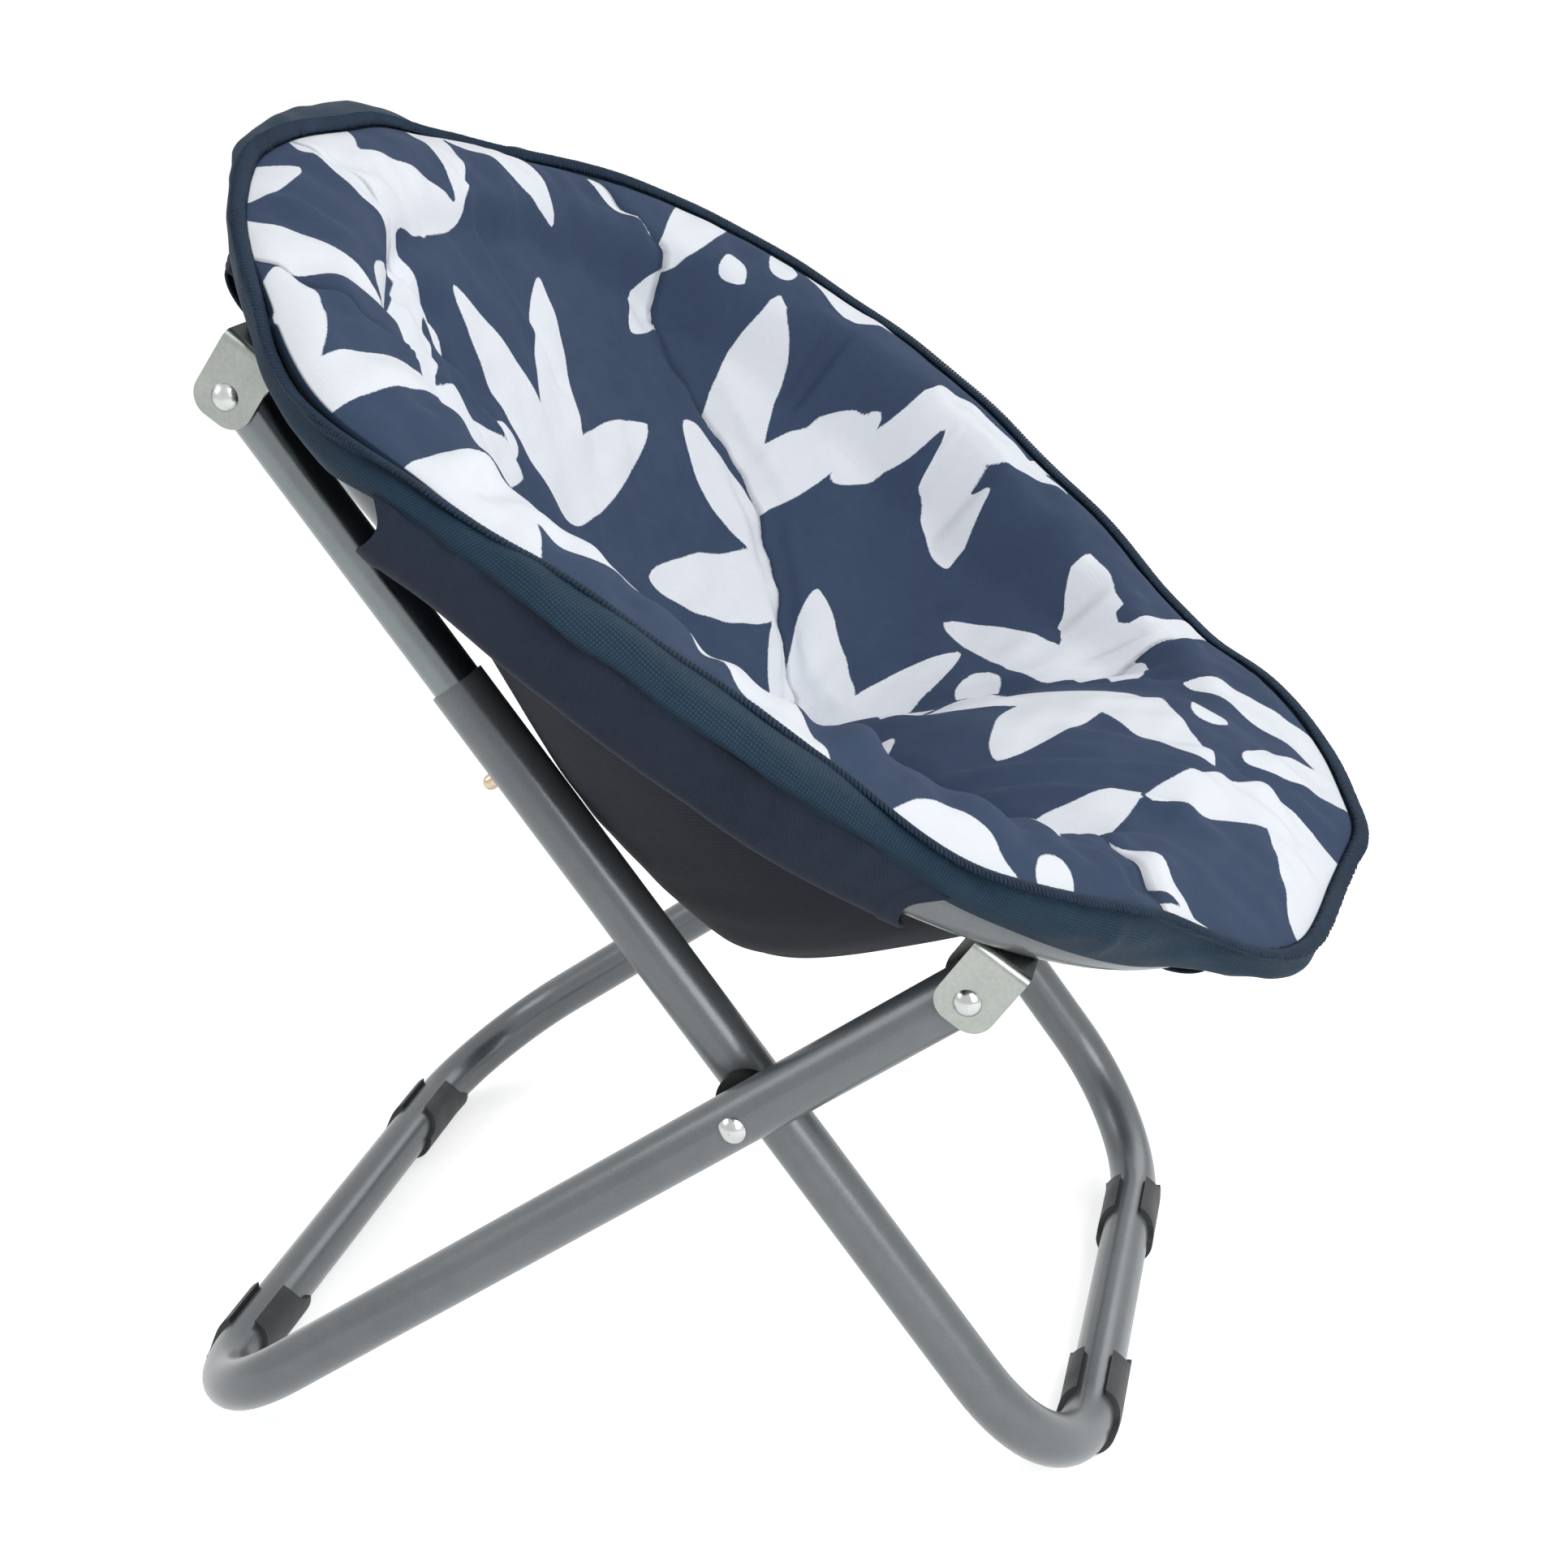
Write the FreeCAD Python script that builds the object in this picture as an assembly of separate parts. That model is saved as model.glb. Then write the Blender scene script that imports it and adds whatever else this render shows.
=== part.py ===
import FreeCAD, Part
import math
import os

Vector = FreeCAD.Vector

# Moon chair that folds flat: a padded cloth bowl on a ring of tube, carried by two
# bent leg frames that cross at the sides. Millimetres and degrees.
# X runs across the chair, Y to its rear, and Z up from the floor.

# Tubes
ring_tube_diameter = 25.0
ring_tube_wall = 1.2
leg_tube_diameter = 25.0
leg_tube_wall = 1.2
slide_tube_diameter = 22.0
slide_tube_wall = 1.2

# Seat ring and stance: every angle is above the floor
ring_radius = 271.0
seat_tilt_angle = 36.2
front_leg_angle = 54.54
rear_leg_angle = 34.97
cross_pivot_height = 213.5

# Leg frames
front_leg_half_width = 174.0
leg_gap = 5.0
leg_bend_radius = 76.0
leg_end_overhang = 10.0
slide_tube_show = 148.5
slide_tube_overlap = 75.0
slide_end_overhang = 9.0
folded_rest_angle = 3.17

# Gaps and overruns
touch_gap = 0.1
running_gap = 0.3
pin_gap = 0.05
cut_overrun = 5.0

# Brackets
bracket_sheet = 2.0
bracket_width = 27.0
bracket_throat = 22.4
bracket_end_reach = 11.5
bracket_corner_radius = 10.0
bracket_bend_radius = 4.0

# Rivets
pivot_pin_diameter = 6.0
pivot_head_diameter = 12.0
pivot_head_height = 3.4
pivot_tail_diameter = 9.0
pivot_tail_height = 1.6
fixing_diameter = 5.0
fixing_head_diameter = 9.0
fixing_head_height = 2.6
fixing_reach = 3.0
spacer_diameter = 28.0

# Snap buttons and their springs
button_setback = 43.0
button_diameter = 7.0
button_hole_gap = 0.3
button_proud = 6.4
spring_leaf = 0.8
spring_width = 7.0
spring_depth = 9.0
spring_length = 30.0
spring_tip_length = 6.0

# Foot clips
clip_wall = 2.6
clip_flat = 0.6
clip_straight_length = 43.0
clip_bend_angle = 13.0
clip_slot_width = 14.0
clip_scallop_radius = 13.0

# Rim border over the ring, measured from the ring tube's centreline
rim_outer_angle = 15.0
rim_inner_angle = 138.0
rim_crown_height = 27.5
rim_crown_offset = 1.0
rim_outer_bulge = 16.0
rim_outer_bulge_height = 17.0
rim_inner_bulge = 12.3
rim_inner_bulge_height = 21.0
rim_front_reach = 19.0
rim_front_rise = 10.0
rim_section_step = 15.0

# Cloth pockets round the ring
pocket_cloth = 2.0
pocket_top_angle = 11.0
pocket_end_angle = -160.0
side_pocket_rear_gap = 113.7
side_pocket_front_gap = 62.3
rear_pocket_gap = 28.1
front_pocket_gap = 112.7

# Hanging shell
shell_cloth = 2.4
shell_ring_gap = 3.0
shell_edge_level = -2.0
shell_leg_gap = 7.2
shell_low_shift = 90.0
shell_least_sag = 3.0

# Padded cushion
cushion_ring_gap = 0.9
cushion_side_level = 9.0
cushion_shoulder_tuck = 5.0
cushion_roll_radius = 17.0
cushion_crown_level = 29.0
cushion_crown_inset = 18.0
cushion_edge_level = 12.0
cushion_padding = 21.0
cushion_low_shift = 48.0
cushion_gap = 0.8
fold_softness = 9.0

# Seat pad at the cushion's front: flat to the floor, wedge-shaped between two folds
pad_drop_share = 0.6
pad_middle_shift = 150.0
pad_half_length = 80.0
pad_end_fall = 12.0
pad_side_fall = 30.0
pad_spread_share = 0.95
pad_narrow_half_width = 24.0

# Stations of the shell and the cushion, from the front of the ring to its rear
station_count = 17
station_end_angle = 80.0
least_crown_share = 0.8
least_inner_share = 0.6
least_fold_share = 0.3
most_fold_share = 0.85

# Sizes worked out from the driving ones
ring_tube_radius = ring_tube_diameter / 2
leg_tube_radius = leg_tube_diameter / 2
slide_tube_radius = slide_tube_diameter / 2
rear_leg_half_width = front_leg_half_width + leg_tube_diameter + leg_gap
rear_pivot_reach = math.sqrt(ring_radius ** 2 - front_leg_half_width ** 2)
front_pivot_reach = math.sqrt(ring_radius ** 2 - rear_leg_half_width ** 2)
pivot_span = rear_pivot_reach + front_pivot_reach
rear_bracket_angle = math.degrees(math.asin(front_leg_half_width / ring_radius))
front_bracket_angle = 180 - math.degrees(math.asin(rear_leg_half_width / ring_radius))
bracket_height = bracket_throat + bracket_sheet
pivot_drop = ring_tube_radius + touch_gap + bracket_height
pin_radius = pivot_pin_diameter / 2
pin_hole_radius = pin_radius + pin_gap
button_radius = button_diameter / 2
button_hole_radius = button_radius + button_hole_gap
button_tip = leg_tube_radius + button_proud
button_travel = button_tip - (leg_tube_radius - leg_tube_wall) + running_gap
clip_outer_radius = leg_tube_radius + touch_gap + clip_wall
foot_height = clip_outer_radius - clip_flat
shell_edge_radius = ring_radius - ring_tube_radius - shell_ring_gap
cushion_radius = ring_radius - ring_tube_radius - cushion_ring_gap
CROSSWAYS = Vector(1, 0, 0)
UPWARDS = Vector(0, 0, 1)


def corner_angle(opposite, side_a, side_b):
    """Angle of a triangle opposite a side, in degrees, by the law of cosines."""
    cosine = (side_a ** 2 + side_b ** 2 - opposite ** 2) / (2 * side_a * side_b)
    return math.degrees(math.acos(cosine))


def slanted(length, angle):
    """A vector in the chair's side view, so long and at this angle above the rear."""
    turn = math.radians(angle)
    return Vector(0, length * math.cos(turn), length * math.sin(turn))


def sine(angle):
    return math.sin(math.radians(angle))


def cosine(angle):
    return math.cos(math.radians(angle))


# The side triangle: front bracket pivot, rear bracket pivot and leg crossing
front_corner = seat_tilt_angle + rear_leg_angle
rear_corner = front_leg_angle - seat_tilt_angle
rear_leg_upper = pivot_span * sine(rear_corner) / sine(front_corner + rear_corner)
front_leg_upper = pivot_span * sine(front_corner) / sine(front_corner + rear_corner)
foot_drop = cross_pivot_height - foot_height
front_leg_lower = foot_drop / sine(front_leg_angle)
rear_leg_lower = foot_drop / sine(rear_leg_angle)
sleeve_reach = front_leg_upper - slide_tube_show
slide_tube_inner_reach = sleeve_reach - slide_tube_overlap
button_reach = sleeve_reach - button_setback

# The folded triangle: the crossing has swung up towards the line of the brackets
fold_angle = front_corner - folded_rest_angle
folded_upper = math.sqrt(
    pivot_span ** 2
    + rear_leg_upper ** 2
    - 2 * pivot_span * rear_leg_upper * cosine(folded_rest_angle)
)
slide_travel = front_leg_upper - folded_upper
swing_travel = rear_corner - corner_angle(rear_leg_upper, pivot_span, folded_upper)


def mirrored(shape):
    """The same shape on the other side of the chair."""
    return shape.mirror(Vector(0, 0, 0), CROSSWAYS)


def rounded_wire(edges):
    return Part.Wire(Part.__sortEdges__(edges))


def arc(start, middle, end):
    return Part.Arc(start, middle, end).toShape()


def line(start, end):
    return Part.makeLine(start, end)


def rod(radius, start, end):
    """A round bar from one point to another."""
    run = end - start
    return Part.makeCylinder(radius, run.Length, start, run)


def swept_bar(path, radius, start, direction):
    """A round bar of this radius along a path of tangent lines and arcs."""
    profile = Part.Wire([Part.makeCircle(radius, start, direction)])
    return path.makePipeShell([profile], True, False)


def frame_path(half_width, top, foot, bend, bend_angle, overrun):
    """Path of a leg frame from one top end to the other, round its floor bar.

    Y runs up the legs from the crossing, and the floor bar lies at -foot.
    """
    turn = math.radians(bend_angle / 2)
    inset = bend * (1 - math.cos(turn))
    rise = bend * (1 - math.sin(turn))
    edges = [
        line(Vector(-half_width, top + overrun, 0), Vector(-half_width, bend - foot, 0)),
        arc(
            Vector(-half_width, bend - foot, 0),
            Vector(inset - half_width, rise - foot, 0),
            Vector(bend - half_width, -foot, 0),
        ),
        line(Vector(bend - half_width, -foot, 0), Vector(half_width - bend, -foot, 0)),
        arc(
            Vector(half_width - bend, -foot, 0),
            Vector(half_width - inset, rise - foot, 0),
            Vector(half_width, bend - foot, 0),
        ),
        line(Vector(half_width, bend - foot, 0), Vector(half_width, top + overrun, 0)),
    ]
    return Part.Wire(edges)


def leg_frame(half_width, top, foot):
    """A hollow bent tube: two straight legs, two bends and the floor bar."""
    square = 90.0
    down = Vector(0, -1, 0)
    outer = swept_bar(
        frame_path(half_width, top, foot, leg_bend_radius, square, 0),
        leg_tube_radius,
        Vector(-half_width, top, 0),
        down,
    )
    bore = swept_bar(
        frame_path(half_width, top, foot, leg_bend_radius, square, cut_overrun),
        leg_tube_radius - leg_tube_wall,
        Vector(-half_width, top + cut_overrun, 0),
        down,
    )
    return outer.cut(bore)


def crossways_hole(half_width, along):
    """One drill through both legs of a frame, at this height above the crossing."""
    reach = half_width + leg_tube_diameter
    return rod(pin_hole_radius, Vector(-reach, along, 0), Vector(reach, along, 0))


def front_leg_frame():
    """Front-foot frame, with its open sleeves, cross rivet holes and button holes."""
    frame = leg_frame(front_leg_half_width, sleeve_reach, front_leg_lower)
    frame = frame.cut(crossways_hole(front_leg_half_width, 0))
    for side in (-1, 1):
        centre = Vector(side * front_leg_half_width, button_reach, 0)
        out = centre - UPWARDS * leg_tube_diameter
        frame = frame.cut(rod(button_hole_radius, centre, out))
    return frame


def rear_leg_frame():
    """Rear-foot frame, drilled at the crossing and at the front brackets."""
    frame = leg_frame(rear_leg_half_width, rear_leg_upper + leg_end_overhang, rear_leg_lower)
    frame = frame.cut(crossways_hole(rear_leg_half_width, 0))
    return frame.cut(crossways_hole(rear_leg_half_width, rear_leg_upper))


def slide_tube():
    """Left bright inner tube, from the rear bracket down into the sleeve."""
    low = Vector(-front_leg_half_width, slide_tube_inner_reach, 0)
    high = Vector(-front_leg_half_width, front_leg_upper + slide_end_overhang, 0)
    over = Vector(0, cut_overrun, 0)
    tube = rod(slide_tube_radius, low, high)
    tube = tube.cut(rod(slide_tube_radius - slide_tube_wall, low - over, high + over))
    pin = Vector(slide_tube_diameter, 0, 0)
    pivot = Vector(-front_leg_half_width, front_leg_upper, 0)
    tube = tube.cut(rod(pin_hole_radius, pivot - pin, pivot + pin))
    button = Vector(-front_leg_half_width, button_reach, 0)
    return tube.cut(rod(button_hole_radius, button, button - UPWARDS * slide_tube_diameter))


def button_spring():
    """Left leaf spring: a hairpin of strip, pressed open against the tube's bore."""
    half = spring_depth + spring_leaf / 2
    tip = button_reach + spring_tip_length
    bend = button_reach - spring_length + half
    edges = []
    for radius in (half - spring_leaf / 2, half + spring_leaf / 2):
        edges.append(
            [
                line(Vector(0, tip, -radius), Vector(0, bend, -radius)),
                arc(Vector(0, bend, -radius), Vector(0, bend - radius, 0), Vector(0, bend, radius)),
                line(Vector(0, bend, radius), Vector(0, tip, radius)),
            ]
        )
    inner, outer = edges
    near_end = line(Vector(0, tip, -half + spring_leaf / 2), Vector(0, tip, -half - spring_leaf / 2))
    far_end = line(Vector(0, tip, half - spring_leaf / 2), Vector(0, tip, half + spring_leaf / 2))
    strip = Part.Face(rounded_wire(inner + outer + [near_end, far_end]))
    spring = strip.extrude(Vector(spring_width, 0, 0))
    spring.translate(Vector(-front_leg_half_width - spring_width / 2, 0, 0))
    bore = slide_tube_radius - slide_tube_wall - touch_gap
    low = Vector(-front_leg_half_width, slide_tube_inner_reach, 0)
    high = Vector(-front_leg_half_width, front_leg_upper, 0)
    return spring.common(rod(bore, low, high))


def snap_button():
    """Left ball catch: a short pin with a round nose, standing out of the sleeve."""
    foot = spring_depth + spring_leaf + touch_gap
    shoulder = button_tip - button_radius
    centre = Vector(-front_leg_half_width, button_reach, 0)
    pin = rod(button_radius, centre - UPWARDS * foot, centre - UPWARDS * shoulder)
    nose = Part.makeSphere(button_radius, centre - UPWARDS * shoulder)
    return pin.fuse(nose).removeSplitter()


def cap_rise(base_radius, height):
    """Middle point of a dome's profile: half way round its arc, as (height, radius)."""
    sphere = (base_radius ** 2 + height ** 2) / (2 * height)
    half_turn = math.asin(base_radius / sphere) / 2
    return sphere * math.cos(half_turn) - (sphere - height), sphere * math.sin(half_turn)


def domed_pin(radius, length, head_radius, head_height, tail_radius, tail_height):
    """A rivet along X: its dome points to -X, its shank runs from zero to length."""
    rise, reach = cap_rise(head_radius, head_height)
    edges = [
        arc(Vector(-head_height, 0, 0), Vector(-rise, 0, reach), Vector(0, 0, head_radius)),
        line(Vector(0, 0, head_radius), Vector(0, 0, radius)),
        line(Vector(0, 0, radius), Vector(length, 0, radius)),
    ]
    end = length
    end_radius = radius
    if tail_height > 0:
        end = length + tail_height
        end_radius = tail_radius
        edges.append(line(Vector(length, 0, radius), Vector(length, 0, tail_radius)))
        edges.append(line(Vector(length, 0, tail_radius), Vector(end, 0, tail_radius)))
    edges.append(line(Vector(end, 0, end_radius), Vector(end, 0, 0)))
    edges.append(line(Vector(end, 0, 0), Vector(-head_height, 0, 0)))
    return Part.Face(Part.Wire(edges)).revolve(Vector(0, 0, 0), CROSSWAYS, 360)


def pivot_rivet(half_width, tube_radius):
    """Left rivet through a bracket's two ears, about the origin of its pivot."""
    ear = tube_radius + running_gap + bracket_sheet + touch_gap
    rivet = domed_pin(
        pin_radius,
        2 * ear,
        pivot_head_diameter / 2,
        pivot_head_height,
        pivot_tail_diameter / 2,
        pivot_tail_height,
    )
    rivet.translate(Vector(-half_width - ear, 0, 0))
    return rivet


def bracket(half_width, tube_radius):
    """Left clevis of bent sheet about its pivot: two rounded ears and a web on top."""
    inner = tube_radius + running_gap
    outer = inner + bracket_sheet
    top = bracket_height
    low = -bracket_end_reach - cut_overrun
    cos_half = math.cos(math.radians(45.0))
    profiles = []
    for half, level, bend in (
        (outer, top, bracket_bend_radius),
        (inner, top - bracket_sheet, bracket_bend_radius - bracket_sheet),
    ):
        inset = bend * (1 - cos_half)
        profiles.append(
            Part.Wire(
                [
                    line(Vector(-half, 0, low), Vector(-half, 0, level - bend)),
                    arc(
                        Vector(-half, 0, level - bend),
                        Vector(inset - half, 0, level - inset),
                        Vector(bend - half, 0, level),
                    ),
                    line(Vector(bend - half, 0, level), Vector(half - bend, 0, level)),
                    arc(
                        Vector(half - bend, 0, level),
                        Vector(half - inset, 0, level - inset),
                        Vector(half, 0, level - bend),
                    ),
                    line(Vector(half, 0, level - bend), Vector(half, 0, low)),
                    line(Vector(half, 0, low), Vector(-half, 0, low)),
                ]
            )
        )
    width = Vector(0, bracket_width, 0)
    channel = Part.Face(profiles[0]).extrude(width).cut(Part.Face(profiles[1]).extrude(width))
    channel.translate(Vector(0, -bracket_width / 2, 0))
    ear = ear_outline(top).extrude(Vector(2 * outer + 2 * cut_overrun, 0, 0))
    ear.translate(Vector(-outer - cut_overrun, 0, 0))
    clevis = channel.common(ear)
    reach = Vector(outer + cut_overrun, 0, 0)
    clevis = clevis.cut(rod(pin_radius + touch_gap, Vector(0, 0, 0) - reach, reach))
    clevis = clevis.cut(rod(fixing_diameter / 2 + touch_gap, Vector(0, 0, 0), UPWARDS * (top + cut_overrun)))
    clevis.translate(Vector(-half_width, 0, 0))
    return clevis


def ear_outline(top):
    """Side face of a bracket: straight sides and two rounded lower corners."""
    half = bracket_width / 2
    corner = bracket_corner_radius
    low = -bracket_end_reach
    inset = corner * (1 - math.cos(math.radians(45.0)))
    high = top + cut_overrun
    edges = [
        line(Vector(0, -half, high), Vector(0, -half, low + corner)),
        arc(
            Vector(0, -half, low + corner),
            Vector(0, inset - half, low + inset),
            Vector(0, corner - half, low),
        ),
        line(Vector(0, corner - half, low), Vector(0, half - corner, low)),
        arc(
            Vector(0, half - corner, low),
            Vector(0, half - inset, low + inset),
            Vector(0, half, low + corner),
        ),
        line(Vector(0, half, low + corner), Vector(0, half, high)),
        line(Vector(0, half, high), Vector(0, -half, high)),
    ]
    return Part.Face(Part.Wire(edges))


def bracket_fixing():
    """Rivet that holds a bracket's web to the ring, about the bracket's pivot."""
    fixing = domed_pin(
        fixing_diameter / 2,
        bracket_sheet + ring_tube_wall + fixing_reach,
        fixing_head_diameter / 2,
        fixing_head_height,
        0,
        0,
    )
    fixing.rotate(Vector(0, 0, 0), Vector(0, 1, 0), -90)
    fixing.translate(UPWARDS * (bracket_throat - touch_gap))
    return fixing


def seat_ring():
    """Hollow ring of tube, drilled underneath where each bracket is fixed."""
    ring = Part.makeTorus(ring_radius, ring_tube_radius)
    ring = ring.cut(Part.makeTorus(ring_radius, ring_tube_radius - ring_tube_wall))
    for half_width, reach in bracket_places():
        for side in (-1, 1):
            centre = Vector(side * half_width, reach, 0)
            ring = ring.cut(
                rod(fixing_diameter / 2 + touch_gap, centre - UPWARDS * ring_tube_diameter, centre)
            )
    return ring


def bracket_places():
    """Half width and place up the slope of the rear and the front brackets."""
    return (
        (front_leg_half_width, rear_pivot_reach),
        (rear_leg_half_width, -front_pivot_reach),
    )


def ring_angle(length):
    """The angle that a length of the ring's centreline spans, in degrees."""
    return math.degrees(length / ring_radius)


def ring_section_point(radius, angle):
    """A point of the ring's cross-section, round the tube's centre."""
    turn = math.radians(angle)
    return Vector(ring_radius + radius * math.cos(turn), 0, radius * math.sin(turn))


def revolved(edges, start, sweep):
    """A cross-section carried round the ring, from one angle through another."""
    face = Part.Face(Part.Wire(edges))
    face.rotate(Vector(0, 0, 0), UPWARDS, start)
    return face.revolve(Vector(0, 0, 0), UPWARDS, sweep)


def rim_section(angle):
    """Cross-section of the rim border at an angle round the ring, from its rear."""
    forward = max(0.0, -math.cos(math.radians(angle))) ** 2
    reach = rim_front_reach * forward
    rise = rim_front_rise * forward
    seat = ring_tube_radius + running_gap
    outer = ring_section_point(seat, rim_outer_angle)
    inner = ring_section_point(seat, rim_inner_angle)
    under = ring_section_point(seat, (rim_outer_angle + rim_inner_angle) / 2)
    crown = Vector(ring_radius + rim_crown_offset + reach / 2, 0, rim_crown_height + rise)
    outside = Vector(ring_radius + rim_outer_bulge + reach, 0, rim_outer_bulge_height + rise / 2)
    inside = Vector(ring_radius - rim_inner_bulge, 0, rim_inner_bulge_height)
    section = Part.Wire(
        [arc(outer, outside, crown), arc(crown, inside, inner), arc(inner, under, outer)]
    )
    section.rotate(Vector(0, 0, 0), UPWARDS, 90 - angle)
    return section


def rim_border():
    """Padded band on the ring, deeper and wider at the front: a closed loft."""
    count = round(360 / rim_section_step)
    sections = [rim_section(360 * index / count) for index in range(count)]
    return Part.makeLoft(sections, True, False, True)


def pocket(start, end):
    """A cloth sleeve round the ring's outside and underside, between two angles from the rear."""
    inner = ring_tube_radius + running_gap
    outer = inner + pocket_cloth
    middle = (pocket_top_angle + pocket_end_angle) / 2
    edges = [
        arc(
            ring_section_point(outer, pocket_top_angle),
            ring_section_point(outer, middle),
            ring_section_point(outer, pocket_end_angle),
        ),
        line(
            ring_section_point(outer, pocket_end_angle),
            ring_section_point(inner, pocket_end_angle),
        ),
        arc(
            ring_section_point(inner, pocket_end_angle),
            ring_section_point(inner, middle),
            ring_section_point(inner, pocket_top_angle),
        ),
        line(
            ring_section_point(inner, pocket_top_angle),
            ring_section_point(outer, pocket_top_angle),
        ),
    ]
    quarter = 90
    return revolved(edges, quarter - end, end - start)


def stations():
    """Places up the slope of the bowl's cross-sections, closer towards both ends."""
    step = 2 * station_end_angle / (station_count - 1)
    return [
        shell_edge_radius * sine(step * index - station_end_angle)
        for index in range(station_count)
    ]


def hollow_share(place, low_shift, reach, front_power, rear_power):
    """Share of a hollow's depth at a place: one at its lowest, none at the edge."""
    if place < -low_shift:
        share = (place + low_shift) / (reach - low_shift)
        power = front_power
    else:
        share = (place + low_shift) / (reach + low_shift)
        power = rear_power
    return max(0.0, 1 - share ** 2) ** power


def middle_sag():
    """Depth of the shell across the ring's middle, where it hangs clear of the front legs."""
    leg_top = (
        leg_tube_radius / cosine(rear_corner)
        - pivot_drop
        - rear_pivot_reach * math.tan(math.radians(rear_corner))
    )
    level = leg_top + shell_leg_gap
    chord = shell_edge_radius ** 2 - front_leg_half_width ** 2
    centre = (chord + shell_edge_level ** 2 - level ** 2) / (2 * (shell_edge_level - level))
    return shell_edge_level - centre + math.hypot(shell_edge_radius, shell_edge_level - centre)


def bowl_depth():
    """Depth of the shell at its lowest section, beyond the least sag."""
    share = hollow_share(0, shell_low_shift, shell_edge_radius, 2, 2)
    return (middle_sag() - shell_least_sag) / share


def shell_sag(place):
    """Depth of the hanging shell below its edge, at the middle of a section."""
    share = hollow_share(place, shell_low_shift, shell_edge_radius, 2, 2)
    return shell_least_sag + bowl_depth() * share


def seat_shell():
    """Hanging bowl of cloth: a loft through one crescent for each station."""
    sections = []
    for place in stations():
        edge = math.sqrt(shell_edge_radius ** 2 - place ** 2)
        low = shell_edge_level - shell_sag(place)
        inner = edge - shell_cloth
        sections.append(
            Part.Wire(
                [
                    arc(
                        Vector(-edge, place, shell_edge_level),
                        Vector(0, place, low),
                        Vector(edge, place, shell_edge_level),
                    ),
                    line(Vector(edge, place, shell_edge_level), Vector(inner, place, shell_edge_level)),
                    arc(
                        Vector(inner, place, shell_edge_level),
                        Vector(0, place, low + shell_cloth),
                        Vector(-inner, place, shell_edge_level),
                    ),
                    line(Vector(-inner, place, shell_edge_level), Vector(-edge, place, shell_edge_level)),
                ]
            )
        )
    return Part.makeLoft(sections, True, False)


def softened_maximum(first, second, softness):
    """The higher of two levels, rounded off where they meet."""
    return (first + second + math.sqrt((first - second) ** 2 + softness ** 2)) / 2


def bowl_level(across, place):
    """Level of the hollow of the cushion, which is lowest behind its seat pad."""
    side = math.sqrt(cushion_radius ** 2 - place ** 2)
    along_share = hollow_share(place, cushion_low_shift, cushion_radius, 3, 2)
    across_share = max(0.0, 1 - (across / side) ** 2)
    dip = bowl_depth() - cushion_padding
    return cushion_edge_level - dip * along_share * across_share


def pad_half_width(place):
    """Half the width of the seat pad, which spreads from the deepest point to the front."""
    return max(pad_narrow_half_width, -place * pad_spread_share)


def pad_level(across, place):
    """Level of the seat pad: flat to the floor along, crowned across, wedge-shaped."""
    end_fall = pad_end_fall * ((place + pad_middle_shift) / pad_half_length) ** 2
    plumb = -pad_drop_share * bowl_depth() - end_fall
    turn = math.radians(seat_tilt_angle)
    level = (plumb - place * math.sin(turn)) / math.cos(turn)
    return level - pad_side_fall * (across / pad_half_width(place)) ** 2


def crown_level(place):
    """Level of the crown of the cushion's roll, which rises towards the front."""
    forward = max(0.0, -place / cushion_radius) ** 2
    return cushion_crown_level + rim_front_rise * forward


def roll_level(inset, place):
    """Level of the padded roll, so far inside the cushion's edge."""
    lift = cushion_roll_radius ** 2 - (inset - cushion_crown_inset) ** 2
    return crown_level(place) - cushion_roll_radius + math.sqrt(max(0.0, lift))


def cushion_level(across, place):
    """Level of the cushion's top: hollow, seat pad and roll, with soft folds between."""
    inset = cushion_radius - math.hypot(across, place)
    roll = roll_level(inset, place)
    hollow = softened_maximum(
        bowl_level(across, place), pad_level(across, place), fold_softness
    )
    if inset < cushion_crown_inset:
        return roll
    hollow = min(hollow, crown_level(place) + (inset - cushion_crown_inset) / 2)
    if inset > cushion_crown_inset + cushion_roll_radius:
        return hollow
    return softened_maximum(hollow, roll, 0)


def arc_or_line(start, middle, end):
    """The arc through three points, or the line where they are in one line."""
    if (middle - start).cross(end - middle).Length < touch_gap ** 2:
        return line(start, end)
    return arc(start, middle, end)


def chord_across(inset, place, shoulder, least_share):
    """Half the chord of a circle so far inside the cushion's edge, at least a share of the shoulder."""
    radius = cushion_radius - inset
    return math.sqrt(max(radius ** 2 - place ** 2, (least_share * shoulder) ** 2))


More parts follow.
